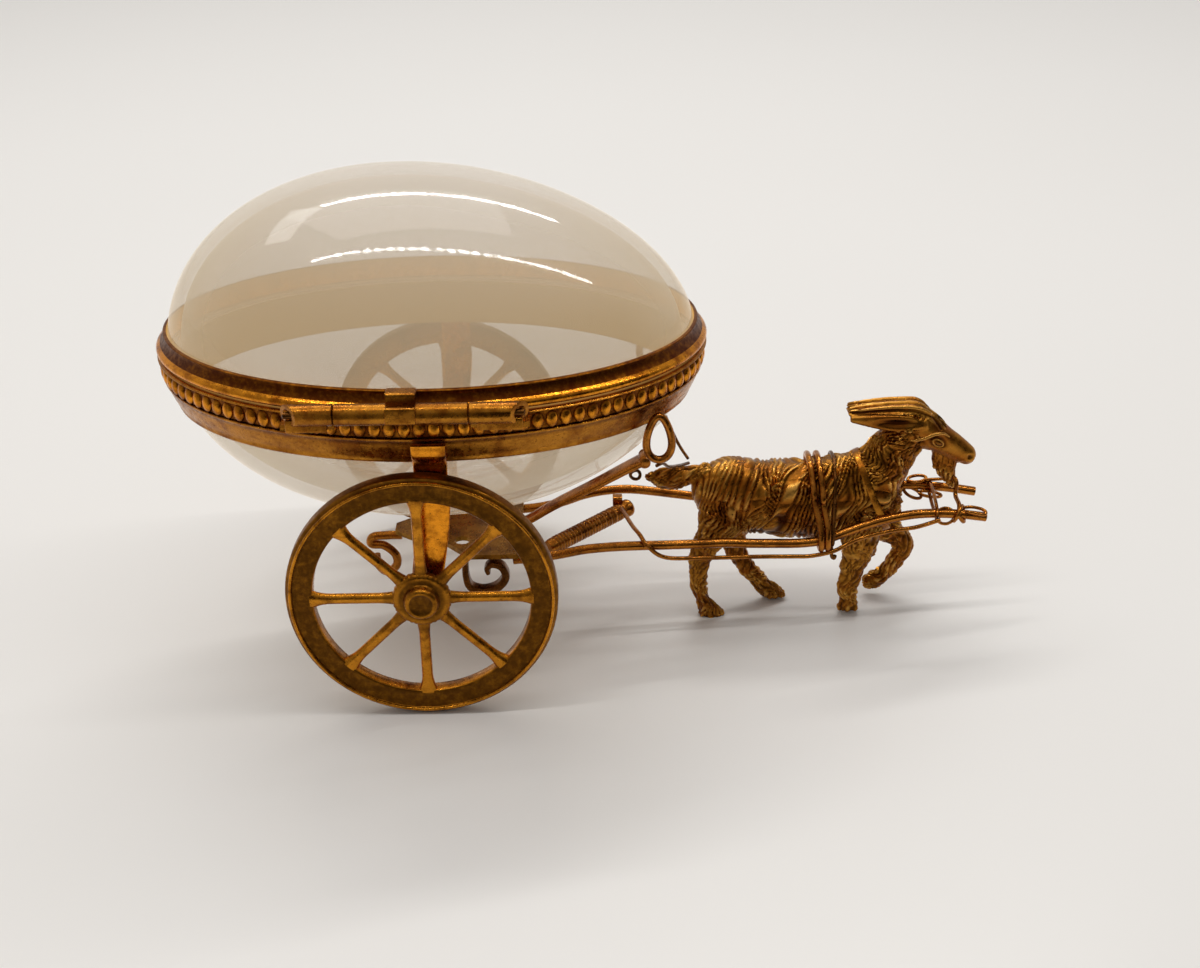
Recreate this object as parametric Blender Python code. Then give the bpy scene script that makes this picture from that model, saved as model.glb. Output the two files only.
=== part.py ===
"""An egg-shaped box of milk glass in gilt-metal mounts, built as a two-wheeled cart that a cast goat draws.

Metres, +Z up, +X from the egg's blunt end to the goat. The lid is hinged along the near side (-Y).
The cart is drawn with the egg's middle at X = 0. Last of all, the root is moved so that the
origin is the middle of the footprint, on the floor.
"""

import math

import bmesh
import bpy
from mathutils import Vector

MM = 0.001

# Glass egg: an ellipsoid cut at the seam, drawn in towards its front end
EGG_HALF_LENGTH = 40.4 * MM
EGG_HALF_WIDTH = 26.8 * MM
LID_RISE = 26.6 * MM
BOWL_DEPTH = 27.4 * MM
LID_TAPER = 0.11
BOWL_TAPER = 0.03
GLASS_WALL = 2.0 * MM

# Mounts round the two rims, all measured from the glass and from the seam
SEAM_GAP = 0.3 * MM
MOUNT_FIT = 0.25 * MM
MOUNT_EDGE = 0.4 * MM
LID_MOUNT_HEIGHT = 3.6 * MM
LID_MOUNT_SWELL = 1.75 * MM
MOULDING_HEIGHT = 0.6 * MM
MOULDING_SWELL = 1.75 * MM
BEAD_ROW_HEIGHT = 2.9 * MM
BEAD_COUNT = 104
BEAD_SEAT = 0.75 * MM
BEAD_SWELL = 1.7 * MM
BEAD_VALLEY = 0.9 * MM
PIECE_GAP = 0.15 * MM
BAND_HEIGHT = 4.3 * MM
BAND_SWELL = 1.5 * MM
BAND_FOOT = 1.0 * MM

# Hinge on the near side
BARREL_RADIUS = 1.55 * MM
BARREL_LIFT = 1.45 * MM
BARREL_CLEARANCE = 0.3 * MM
KNUCKLE_REAR_LENGTH = 7.5 * MM
KNUCKLE_MIDDLE_LENGTH = 18.4 * MM
KNUCKLE_FRONT_LENGTH = 8.2 * MM
KNUCKLE_GAP = 0.3 * MM
HINGE_REAR_END = -19.0 * MM
PIN_RADIUS = 0.5 * MM
PIN_CLEARANCE = 0.2 * MM
PIN_RECESS = 0.5 * MM
LEAF_THICKNESS = 0.8 * MM
STOP_LUG_WIDTH = 4.2 * MM
STOP_LUG_HEIGHT = 1.5 * MM

# Wheels and axle
WHEEL_RADIUS = 20.0 * MM
RIM_WIDTH = 4.0 * MM
RIM_DEPTH = 2.2 * MM
SPOKE_COUNT = 8
SPOKE_HALF_WIDTH = 0.8 * MM
SPOKE_FLARE = 1.35 * MM
SPOKE_HALF_DEPTH = 0.6 * MM
HUB_FLANGE_RADIUS = 4.0 * MM
HUB_BOSS_RADIUS = 2.4 * MM
HUB_BACK_RADIUS = 2.6 * MM
HUB_LENGTH = 5.3 * MM
HUB_BEHIND_RIM = 0.7 * MM
HUB_CAP = 1.2 * MM
RIM_SIDES = 32
AXLE_RADIUS = 0.9 * MM
AXLE_CLEARANCE = 0.2 * MM
AXLE_X = -1.0 * MM
BAND_TO_WHEEL = 0.3 * MM
BOWL_TO_AXLE = 0.4 * MM

# Underframe
STRAP_WIDTH = 5.4 * MM
STRAP_THICKNESS = 0.8 * MM
STRAP_X = 1.2 * MM
PLATE_THICKNESS = 0.8 * MM
PLATE_HALF_WIDTH = 9.8 * MM
PLATE_FRONT = 12.6 * MM
PLATE_REAR = -8.0 * MM
PLATE_BELOW_AXLE = 4.4 * MM
PLATE_HOLE_RADIUS = 1.3 * MM
HOOK_WIRE = 0.55 * MM
ARM_WIDTH = 3.2 * MM
ARM_REACH = 32.6 * MM
ARM_BELOW_SEAM = 21.4 * MM
ARM_KNOB_RADIUS = 0.95 * MM
RING_RADIUS = 0.78 * MM
RING_BELOW_ARM = 0.37 * MM
BLOCK_LENGTH = 3.0 * MM
BLOCK_WIDTH = 10.0 * MM
SCROLL_WIDTH = 2.2 * MM

# Shafts and harness
SHAFT_RADIUS = 0.75 * MM
SHAFT_ROOT = 11.4 * MM
SHAFT_REACH = 75.8 * MM
SHAFT_ROOT_SPREAD = 8.4 * MM
CROSSBAR_RADIUS = 1.35 * MM
TRACE_RADIUS = 0.35 * MM
BAND_WIRE = 0.5 * MM
GIRTH_WIRE = 0.3 * MM
COLLAR_WIRE = 0.45 * MM
TIE_WIRE = 0.4 * MM
REIN_WIRE = 0.28 * MM
LOOP_WIRE = 0.62 * MM
LOOP_HEIGHT = 7.0 * MM
LOOP_WIDTH = 4.2 * MM
LOOP_X = 34.2 * MM

# Goat and harness, drawn in units of which 45 make the goat's length from rump to muzzle
GOAT_LENGTH = 45.0 * MM
GOAT_UNITS = 45.0
UNIT = GOAT_LENGTH / GOAT_UNITS
HOOF_ON_DRAWING = 43.0
HOOF_SHARE = 0.4169
HOOF_X = SHAFT_ROOT + HOOF_SHARE * SHAFT_REACH
RING_ON_DRAWING = 31.1
GOAT_FACES = 1900
GOAT_VOXEL = 0.45 * MM

AROUND = 32

# The bowl clears the axle, and the wheels' tops stay below the flat band
AXLE_HEIGHT = WHEEL_RADIUS
MOUNT_STACK = SEAM_GAP / 2 + MOULDING_HEIGHT + BEAD_ROW_HEIGHT + BAND_HEIGHT
SEAM = max(
    AXLE_HEIGHT + AXLE_RADIUS + BOWL_TO_AXLE + BOWL_DEPTH,
    2 * WHEEL_RADIUS + MOUNT_STACK,
)


def material(name, colour, metallic, roughness, alpha=1.0):
    made = bpy.data.materials.new(name)
    made.use_nodes = True
    shader = made.node_tree.nodes["Principled BSDF"]
    shader.inputs["Base Color"].default_value = (*colour, 1)
    shader.inputs["Metallic"].default_value = metallic
    shader.inputs["Roughness"].default_value = roughness
    shader.inputs["Alpha"].default_value = alpha
    return made


def place(made, kind, parent):
    bpy.context.scene.collection.objects.link(made)
    made.data.materials.append(kind)
    made.parent = parent
    return made


def mesh_object(name, points, faces, kind, parent, helper=False):
    """A closed mesh with its faces turned outwards. A helper only shapes another piece."""
    sketch = bmesh.new()
    corners = [sketch.verts.new(point) for point in points]
    for face in faces:
        sketch.faces.new([corners[i] for i in face])
    bmesh.ops.recalc_face_normals(sketch, faces=sketch.faces)
    mesh = bpy.data.meshes.new(name)
    sketch.to_mesh(mesh)
    sketch.free()
    mesh.shade_smooth()
    mesh.set_sharp_from_angle(angle=math.radians(40))
    made = place(bpy.data.objects.new(name, mesh), kind, parent)
    if helper:
        made.hide_render = True
        made.display_type = "WIRE"
    return made


def combine(base, operation, helper):
    change = base.modifiers.new(helper.name, "BOOLEAN")
    change.operation = operation
    change.object = helper
    change.solver = "EXACT"


def strip_faces(rows, around, closed=False):
    """Faces between rows of points, each row a closed loop. The last row joins the first if closed."""
    faces = []
    for row in range(rows if closed else rows - 1):
        above = ((row + 1) % rows) * around
        for i in range(around):
            j = (i + 1) % around
            faces.append((row * around + i, row * around + j, above + j, above + i))
    return faces


def loft(rows):
    """(points, faces) of a solid through closed loops of points, with flat ends."""
    around = len(rows[0])
    points = [point for row in rows for point in row]
    faces = strip_faces(len(rows), around)
    faces.append(tuple(range(around)))
    faces.append(tuple(range(len(points) - around, len(points))))
    return points, faces


def box(low, high):
    corners = [(x, y, z) for z in (low[2], high[2]) for x, y in
               ((low[0], low[1]), (high[0], low[1]), (high[0], high[1]), (low[0], high[1]))]
    return loft([corners[:4], corners[4:]])


def disc(centre, axis, radius, sides, along):
    """A loop of points round an axis ('X' or 'Y'), at a distance along it from the centre."""
    loop = []
    for i in range(sides):
        angle = 2 * math.pi * i / sides
        across, up = radius * math.cos(angle), radius * math.sin(angle)
        offset = (along, across, up) if axis == "X" else (across, along, up)
        loop.append(tuple(c + o for c, o in zip(centre, offset)))
    return loop


def rod(centre, axis, radius, sides, start, end):
    return loft([disc(centre, axis, radius, sides, along) for along in (start, end)])


def smooth_route(points, steps):
    """Points read from one smooth curve through the route's own points."""
    ends = [2 * Vector(points[0]) - Vector(points[1]), 2 * Vector(points[-1]) - Vector(points[-2])]
    route = [ends[0], *map(Vector, points), ends[1]]
    found = []
    for a, b, c, d in zip(route, route[1:], route[2:], route[3:]):
        for step in range(steps):
            t = step / steps
            found.append(
                0.5 * (2 * b + (c - a) * t + (2 * a - 5 * b + 4 * c - d) * t**2
                       + (3 * b - a - 3 * c + d) * t**3)
            )
    return [tuple(point) for point in found] + [tuple(points[-1])]


def wire(name, route, radius, kind, parent, sides=6, loop=False):
    """A wire of round section along a route, with filled ends unless it closes on itself."""
    curve = bpy.data.curves.new(name, "CURVE")
    curve.dimensions = "3D"
    curve.bevel_depth = radius
    curve.bevel_resolution = (sides - 4) // 2
    curve.use_fill_caps = not loop
    spline = curve.splines.new("POLY")
    spline.points.add(len(route) - 1)
    for point, place_on in zip(spline.points, route):
        point.co = (*place_on, 1)
    spline.use_cyclic_u = loop
    return place(bpy.data.objects.new(name, curve), kind, parent)


def glass_point(angle, height, out=0.0):
    """A point on the egg's outside, at a height from the seam, moved outwards level by a distance."""
    rise = LID_RISE if height > 0 else BOWL_DEPTH
    taper = LID_TAPER if height > 0 else BOWL_TAPER
    reach = 1.0
    for _ in range(12):
        share = height / rise / (1 - taper * reach * math.cos(angle))
        reach = math.sqrt(max(1 - share**2, 0.0))
    x = EGG_HALF_LENGTH * reach * math.cos(angle)
    y = EGG_HALF_WIDTH * reach * math.sin(angle)
    across = Vector((x / EGG_HALF_LENGTH**2, y / EGG_HALF_WIDTH**2)).normalized() * out
    return x + across.x, y + across.y, SEAM + height


def glass_shell(name, rise, taper, up, kind, parent):
    """Half of the hollow egg, with its rim just clear of the seam."""
    lift = up * SEAM_GAP / 2
    levels = [0, 15, 32, 50, 69]

    def surface(inset):
        rows = []
        for level in levels:
            row = []
            for i in range(AROUND):
                angle = 2 * math.pi * i / AROUND
                flat, high = math.cos(math.radians(level)), math.sin(math.radians(level))
                reach = flat * math.cos(angle)
                row.append((
                    (EGG_HALF_LENGTH - inset) * reach,
                    (EGG_HALF_WIDTH - inset) * flat * math.sin(angle),
                    SEAM + lift + up * (rise - inset) * high * (1 - taper * reach),
                ))
            rows.append(row)
        return rows, (0, 0, SEAM + lift + up * (rise - inset))

    outer, outer_pole = surface(0)
    inner, inner_pole = surface(GLASS_WALL)
    rows = outer[::-1] + inner
    points = [point for row in rows for point in row] + [outer_pole, inner_pole]
    faces = strip_faces(len(rows), AROUND)
    last = (len(rows) - 1) * AROUND
    for i in range(AROUND):
        j = (i + 1) % AROUND
        faces.append((i, j, len(points) - 2))
        faces.append((last + i, last + j, len(points) - 1))
    return mesh_object(name, points, faces, kind, parent)


def mount_ring(name, outline, kind, parent):
    """A ring round the egg. Its outline is a list of (height from the seam, distance from the glass)."""
    rows = []
    for height, out in outline:
        rows.append([glass_point(2 * math.pi * i / AROUND, height, out) for i in range(AROUND)])
    points = [point for row in rows for point in row]
    return mesh_object(name, points, strip_faces(len(rows), AROUND, closed=True), kind, parent)


def even_angles(count, out):
    """Angles that divide the egg's girth into equal lengths."""
    fine = 1440
    trail = [Vector(glass_point(2 * math.pi * i / fine, 0, out)) for i in range(fine + 1)]
    lengths = [0.0]
    for a, b in zip(trail, trail[1:]):
        lengths.append(lengths[-1] + (b - a).length)
    angles, i = [], 0
    for step in range(count):
        wanted = lengths[-1] * step / count
        while lengths[i + 1] < wanted:
            i += 1
        share = (wanted - lengths[i]) / (lengths[i + 1] - lengths[i])
        angles.append(2 * math.pi * (i + share) / fine)
    return angles


MOULDING_TOP = -SEAM_GAP / 2
MOULDING_FOOT = MOULDING_TOP - MOULDING_HEIGHT
BEAD_FOOT = MOULDING_FOOT - BEAD_ROW_HEIGHT
BAND_BOTTOM = BEAD_FOOT - BAND_HEIGHT


def make_mounts(gilt, root, lid):
    bottom, top = SEAM_GAP / 2, LID_MOUNT_HEIGHT
    mount_ring("lid_mount", [
        (bottom, MOUNT_FIT),
        (bottom, LID_MOUNT_SWELL),
        (bottom + 0.35 * top, LID_MOUNT_SWELL),
        (bottom + 0.55 * top, 0.6 * LID_MOUNT_SWELL),
        (top, MOUNT_FIT + MOUNT_EDGE),
        (top, MOUNT_FIT),
    ], gilt, lid)
    mount_ring("bowl_mount", [
        (MOULDING_TOP, MOUNT_FIT),
        (MOULDING_TOP, MOULDING_SWELL),
        (MOULDING_FOOT, MOULDING_SWELL),
        (MOULDING_FOOT, BEAD_SEAT),
        (BEAD_FOOT, BEAD_SEAT),
        (BEAD_FOOT, BAND_SWELL),
        (BAND_BOTTOM, BAND_FOOT),
        (BAND_BOTTOM, MOUNT_FIT),
        (0.6 * BAND_BOTTOM, MOUNT_FIT),
        (0.3 * BAND_BOTTOM, MOUNT_FIT),
    ], gilt, root)
    rows = [[], [], []]
    middle = (MOULDING_FOOT + BEAD_FOOT) / 2
    for i, angle in enumerate(even_angles(2 * BEAD_COUNT, BEAD_SWELL)):
        peak = BEAD_SWELL if i % 2 else BEAD_VALLEY
        rows[0].append(glass_point(angle, MOULDING_FOOT - PIECE_GAP, BEAD_SEAT + PIECE_GAP))
        rows[1].append(glass_point(angle, middle, peak + PIECE_GAP))
        rows[2].append(glass_point(angle, BEAD_FOOT + PIECE_GAP, BEAD_SEAT + PIECE_GAP))
    points = [point for row in rows for point in row]
    mesh_object("beaded_band", points, strip_faces(3, 2 * BEAD_COUNT, closed=True), gilt, root)


HINGE_Y = -(EGG_HALF_WIDTH + LID_MOUNT_SWELL + BARREL_CLEARANCE + BARREL_RADIUS)
HINGE_Z = SEAM + BARREL_LIFT


def mount_edge(x, swell, clearance):
    """How far out on the near side a mount reaches at X, with the clearance added."""
    share = min(abs(x) / (EGG_HALF_LENGTH + swell), 0.95)
    return -(EGG_HALF_WIDTH + swell) * math.sqrt(1 - share**2) - clearance


def leaf(name, start, end, low, high, swell, kind, parent):
    """A plate from the barrel to a mount, its inner edge following the mount."""
    steps = 5
    near, far = [], []
    for step in range(steps + 1):
        x = start + (end - start) * step / steps
        near.append((x, HINGE_Y + 0.3 * BARREL_RADIUS))
        far.append((x, mount_edge(x, swell, 1.5 * PIECE_GAP)))
    outline = near + far[::-1]
    rows = [[(x, y, z) for x, y in outline] for z in (low, high)]
    return mesh_object(name, *loft(rows), kind, parent, helper=True)


def knuckle(name, start, end, kind, parent):
    centre = (0, HINGE_Y, HINGE_Z)
    return mesh_object(name, *rod(centre, "X", BARREL_RADIUS, 16, start, end), kind, parent)


def bore(target, start, end, parent):
    centre = (0, HINGE_Y, HINGE_Z)
    cutter = mesh_object(target.name + "_bore", *rod(centre, "X", PIN_RADIUS + PIN_CLEARANCE, 10,
                         start - MM, end + MM), target.data.materials[0], parent, helper=True)
    combine(target, "DIFFERENCE", cutter)


def make_hinge(gilt, root, lid):
    start = HINGE_REAR_END
    first = start + KNUCKLE_REAR_LENGTH
    second = first + KNUCKLE_GAP + KNUCKLE_MIDDLE_LENGTH
    end = second + KNUCKLE_GAP + KNUCKLE_FRONT_LENGTH
    web = HINGE_Y + 0.45 * BARREL_RADIUS
    top = SEAM + MOULDING_TOP - PIECE_GAP / 2
    outer = (("hinge_knuckle_rear", start, first), ("hinge_knuckle_front", second + KNUCKLE_GAP, end))
    for name, low, high in outer:
        made = knuckle(name, low, high, gilt, root)
        plate = leaf(name + "_leaf", low, high, top - LEAF_THICKNESS, top, MOULDING_SWELL, gilt, root)
        combine(made, "UNION", plate)
        post = box((low, HINGE_Y - 0.5 * BARREL_RADIUS, top - LEAF_THICKNESS),
                   (high, web, HINGE_Z - 0.6 * BARREL_RADIUS))
        combine(made, "UNION", mesh_object(name + "_web", *post, gilt, root, helper=True))
        bore(made, low, high, root)
    low, high = first + KNUCKLE_GAP, second
    made = knuckle("lid_knuckle", low, high, gilt, lid)
    bottom = SEAM + SEAM_GAP
    plate = leaf("lid_knuckle_leaf", low + MM, high - MM, bottom, bottom + LEAF_THICKNESS,
                 LID_MOUNT_SWELL, gilt, lid)
    combine(made, "UNION", plate)
    middle = (low + high) / 2
    half, lug_top = STOP_LUG_WIDTH / 2, HINGE_Z + BARREL_RADIUS + STOP_LUG_HEIGHT
    lug = box((middle - half, HINGE_Y, HINGE_Z + 0.6 * BARREL_RADIUS),
              (middle + half, HINGE_Y + 1.6 * BARREL_RADIUS, lug_top))
    combine(made, "UNION", mesh_object("lid_knuckle_lug", *lug, gilt, lid, helper=True))
    bore(made, low, high, lid)
    mesh_object("hinge_pin", *rod((0, HINGE_Y, HINGE_Z), "X", PIN_RADIUS, 10,
                start + PIN_RECESS, end - PIN_RECESS), gilt, root)


WHEEL_BACK = EGG_HALF_WIDTH + BAND_SWELL + BAND_TO_WHEEL
HUB_BACK = WHEEL_BACK - HUB_BEHIND_RIM


def make_wheel(name, side, kind, parent):
    """A spoked wheel in its axle's frame, with its face turned outwards from the cart."""

    def turned(profile, sides):
        rows = []
        for radius, depth in profile:
            rows.append(disc((0, 0, 0), "Y", radius, sides, side * depth))
        return rows

    back, face = WHEEL_BACK, WHEEL_BACK + RIM_DEPTH
    inner = WHEEL_RADIUS - RIM_WIDTH
    rim = turned([
        (WHEEL_RADIUS, back),
        (WHEEL_RADIUS, face - 0.3 * MM),
        (WHEEL_RADIUS - 0.25 * RIM_WIDTH, face),
        (inner, face - 0.2 * MM),
        (inner, back),
    ], RIM_SIDES)
    points = [point for row in rim for point in row]
    made = mesh_object(name, points, strip_faces(len(rim), RIM_SIDES, closed=True), kind, parent)
    hub = turned([
        (HUB_BACK_RADIUS, HUB_BACK),
        (HUB_BACK_RADIUS, back + 0.3 * MM),
        (HUB_FLANGE_RADIUS, back + 0.6 * MM),
        (HUB_FLANGE_RADIUS, face + 0.3 * MM),
        (HUB_BOSS_RADIUS, face + 0.7 * MM),
        (HUB_BOSS_RADIUS, HUB_BACK + HUB_LENGTH - 0.4 * MM),
        (0.6 * HUB_BOSS_RADIUS, HUB_BACK + HUB_LENGTH),
    ], 14)
    points, faces = [], []
    middle = (back + face) / 2
    for spoke in range(SPOKE_COUNT):
        angle = 2 * math.pi * spoke / SPOKE_COUNT
        out = Vector((math.cos(angle), 0, math.sin(angle)))
        along = Vector((-math.sin(angle), 0, math.cos(angle)))
        rows = []
        for radius, half in (
            (HUB_FLANGE_RADIUS - 0.8 * MM, SPOKE_HALF_WIDTH),
            (inner - 2.6 * MM, SPOKE_HALF_WIDTH),
            (inner + 0.3 * RIM_WIDTH, SPOKE_FLARE),
        ):
            row = []
            for across, deep in ((-1, -1), (1, -1), (1, 1), (-1, 1)):
                depth = side * (middle + deep * SPOKE_HALF_DEPTH)
                row.append(tuple(out * radius + along * across * half + Vector((0, depth, 0))))
            rows.append(row)
        more, joins = loft(rows)
        faces += [tuple(i + len(points) for i in face_of) for face_of in joins]
        points += more
    combine(made, "UNION", mesh_object(name + "_hub", *loft(hub), kind, parent, helper=True))
    combine(made, "UNION", mesh_object(name + "_spokes", points, faces, kind, parent, helper=True))
    hole = rod((0, 0, 0), "Y", AXLE_RADIUS + AXLE_CLEARANCE, 12,
               side * (HUB_BACK - MM), side * (HUB_BACK + HUB_LENGTH - HUB_CAP))
    combine(made, "DIFFERENCE", mesh_object(name + "_bore", *hole, kind, parent, helper=True))
    return made


def make_strap(name, side, kind, parent):
    """A flat strap from the band's outside, in under it and down to the axle, which its eye holds."""
    half = STRAP_THICKNESS / 2
    beside = BAND_SWELL + PIECE_GAP + half
    top_out = EGG_HALF_WIDTH + beside
    inner = HUB_BACK - SEAM_GAP - half
    route = [
        (top_out, SEAM + BEAD_FOOT - 0.3 * MM),
        (inner, SEAM + BAND_BOTTOM - 0.2 * MM),
        (inner, AXLE_HEIGHT),
    ]
    rows = []
    for i, (out, height) in enumerate(route):
        before, after = route[max(i - 1, 0)], route[min(i + 1, 2)]
        run = Vector((after[0] - before[0], after[1] - before[1])).normalized()
        across = Vector((-run.y, run.x)) * half
        row = []
        for x, turn in ((-1, -1), (1, -1), (1, 1), (-1, 1)):
            row.append((STRAP_X + x * STRAP_WIDTH / 2, side * (out + turn * across.x),
                        height + turn * across.y))
        rows.append(row)
    made = mesh_object(name, *loft(rows), kind, parent)
    centre = (AXLE_X, 0, AXLE_HEIGHT)
    eye = rod(centre, "Y", 2.5 * AXLE_RADIUS, 14, side * (inner - half), side * (inner + half))
    combine(made, "UNION", mesh_object(name + "_eye", *eye, kind, parent, helper=True))
    hole = rod(centre, "Y", AXLE_RADIUS + AXLE_CLEARANCE, 12, side * (inner - MM), side * (inner + MM))
    combine(made, "DIFFERENCE", mesh_object(name + "_hole", *hole, kind, parent, helper=True))


PLATE_TOP = AXLE_HEIGHT - PLATE_BELOW_AXLE
PLATE_BOTTOM = PLATE_TOP - PLATE_THICKNESS


def make_underframe(gilt, root):
    axle_end = HUB_BACK + HUB_LENGTH - HUB_CAP - SEAM_GAP
    axle = rod((AXLE_X, 0, AXLE_HEIGHT), "Y", AXLE_RADIUS, 12, -axle_end, axle_end)
    mesh_object("axle", *axle, gilt, root)
    for name, side in (("strap_near", -1), ("strap_far", 1)):
        make_strap(name, side, gilt, root)
    tongue, neck = 0.12 * PLATE_HALF_WIDTH, 0.55 * PLATE_HALF_WIDTH
    side = [
        (PLATE_REAR, tongue),
        (AXLE_X - BLOCK_LENGTH / 2, neck),
        (AXLE_X + BLOCK_LENGTH / 2, neck),
        (0.35 * PLATE_FRONT, PLATE_HALF_WIDTH),
        (PLATE_FRONT, PLATE_HALF_WIDTH),
    ]
    outline = side + [(x, -y) for x, y in side[::-1]]
    rows = [[(x, y, z) for x, y in outline] for z in (PLATE_BOTTOM, PLATE_TOP)]
    plate = mesh_object("frame_plate", *loft(rows), gilt, root)
    for side in (-1, 1):
        rows = []
        for z in (PLATE_BOTTOM - MM, PLATE_TOP + MM):
            rows.append([(0.25 * PLATE_FRONT + PLATE_HOLE_RADIUS * math.cos(math.pi * i / 6),
                          side * 0.5 * PLATE_HALF_WIDTH + PLATE_HOLE_RADIUS * math.sin(math.pi * i / 6), z)
                         for i in range(12)])
        name = "plate_hole_near" if side < 0 else "plate_hole_far"
        combine(plate, "DIFFERENCE", mesh_object(name, *loft(rows), gilt, root, helper=True))
    mesh_object("axle_block", *box(
        (AXLE_X - BLOCK_LENGTH / 2, -BLOCK_WIDTH / 2, PLATE_TOP + PIECE_GAP),
        (AXLE_X + BLOCK_LENGTH / 2, BLOCK_WIDTH / 2, AXLE_HEIGHT - AXLE_RADIUS - PIECE_GAP)), gilt, root)
    for name, side in (("scroll_near", -1), ("scroll_far", 1)):
        make_scroll(name, side, gilt, root)
    hook = [(0.9, -0.9), (-1.4, -0.9), (-3.9, -1.2), (-4.2, -2.5), (-2.2, -2.8), (-0.4, -4.6),
            (-0.4, -6.6), (-2.0, -7.8), (-3.4, -6.4), (-3.4, -4.4)]
    route = [(PLATE_REAR + x * MM, 0, PLATE_BOTTOM + (z + 0.1) * MM) for x, z in hook]
    wire("rear_hook", smooth_route(route, 2), HOOK_WIRE, gilt, root, sides=4)
    make_arm(gilt, root)


def make_scroll(name, side, kind, parent):
    """A strip that drops from the plate and curls forward into an open scroll."""
    start = 0.3 * PLATE_FRONT
    turns = [(0, -0.6), (0, -3.4), (0.6, -5.4), (2.6, -6.2), (4.9, -5.6), (6.3, -3.8), (5.8, -1.9),
             (4.3, -1.3)]
    route = smooth_route([(start + x * MM, 0, PLATE_BOTTOM + z * MM) for x, z in turns], 1)
    half, deep = 0.42 * MM, SCROLL_WIDTH / 2
    middle = side * (PLATE_HALF_WIDTH - SCROLL_WIDTH / 2)
    rows = []
    for i, (x, _, z) in enumerate(route):
        before, after = route[max(i - 1, 0)], route[min(i + 1, len(route) - 1)]
        run = Vector((after[0] - before[0], after[2] - before[2])).normalized()
        across = Vector((-run.y, run.x)) * half
        rows.append([(x + turn * across.x, middle + out * deep, z + turn * across.y)
                     for turn, out in ((-1, -1), (1, -1), (1, 1), (-1, 1))])
    mesh_object(name, *loft(rows), kind, parent)


ARM_END = (ARM_REACH, SEAM - ARM_BELOW_SEAM)


def make_arm(gilt, root):
    """The support under the egg's front, from the plate to a rolled knob."""
    start = (PLATE_FRONT - 2.4 * MM, PLATE_TOP + PIECE_GAP + 0.4 * MM)
    rise = ARM_END[1] - start[1]
    run = ARM_END[0] - start[0]
    shares = [(0, 0), (0.12, 0.0), (0.35, 0.28), (0.6, 0.55), (0.82, 0.8), (1, 1)]
    rows = []
    for i, (along, up) in enumerate(shares):
        half = ARM_WIDTH / 2 * (0.8 + 0.35 * along)
        thick = (0.4 + 0.25 * along) * MM
        x, z = start[0] + run * along, start[1] + rise * up
        rows.append([(x, -half, z - thick), (x, half, z - thick),
                     (x, half, z + thick), (x, -half, z + thick)])
    arm = mesh_object("front_arm", *loft(rows), gilt, root)
    knob = rod((ARM_END[0], 0, ARM_END[1]), "Y", ARM_KNOB_RADIUS, 12, -0.6 * ARM_WIDTH, 0.6 * ARM_WIDTH)
    combine(arm, "UNION", mesh_object("front_arm_knob", *knob, gilt, root, helper=True))
    ring_x = drawn(RING_ON_DRAWING, 0, 0)[0]
    share = min((ring_x - start[0]) / run, 1.0)
    for low, high in zip(shares, shares[1:]):
        if low[0] <= share <= high[0]:
            up = low[1] + (high[1] - low[1]) * (share - low[0]) / (high[0] - low[0])
    underside = start[1] + rise * up - (0.4 + 0.25 * share) * MM
    ring_z = underside - RING_BELOW_ARM - REIN_WIRE - RING_RADIUS
    ring = [(ring_x + RING_RADIUS * math.cos(math.pi * i / 5), 0,
             ring_z + RING_RADIUS * math.sin(math.pi * i / 5)) for i in range(10)]
    wire("tail_shackle", ring, REIN_WIRE, gilt, root, sides=4, loop=True)


def shaft_place(share):
    """The shaft's middle line: (X, distance from the middle plane, Z) at a share of its reach."""
    stations = [
        (0.0, 0.0, -0.95), (0.025, 0.0, -0.95), (0.098, 0.3, 0.1), (0.154, 0.9, 1.3), (0.212, 1.3, 1.9),
        (0.259, 1.2, 1.95), (0.326, 0.5, 1.6), (0.388, -0.3, 1.25), (0.45, -0.8, 1.1), (0.522, -0.9, 0.8),
        (0.606, -1.0, 0.7), (0.658, -1.2, 1.1), (0.72, -1.9, 2.7), (0.782, -2.8, 3.8), (0.855, -3.4, 4.4),
        (0.927, -3.8, 4.2), (1.0, -4.0, 3.3),
    ]
    for low, high in zip(stations, stations[1:]):
        if low[0] <= share <= high[0]:
            t = (share - low[0]) / (high[0] - low[0])
            spread = low[1] + (high[1] - low[1]) * t
            rise = low[2] + (high[2] - low[2]) * t
            return (SHAFT_ROOT + SHAFT_REACH * share, SHAFT_ROOT_SPREAD + spread * UNIT,
                    PLATE_BOTTOM + rise * UNIT)
    return None


def drawn(x, y, z):
    """A point of the goat and harness drawing, in metres."""
    return (HOOF_X + (x - HOOF_ON_DRAWING) * UNIT, y * UNIT, z * UNIT)


def shaft_at(x):
    """The shaft's middle line at an X of the drawing."""
    return shaft_place((drawn(x, 0, 0)[0] - SHAFT_ROOT) / SHAFT_REACH)


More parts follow.
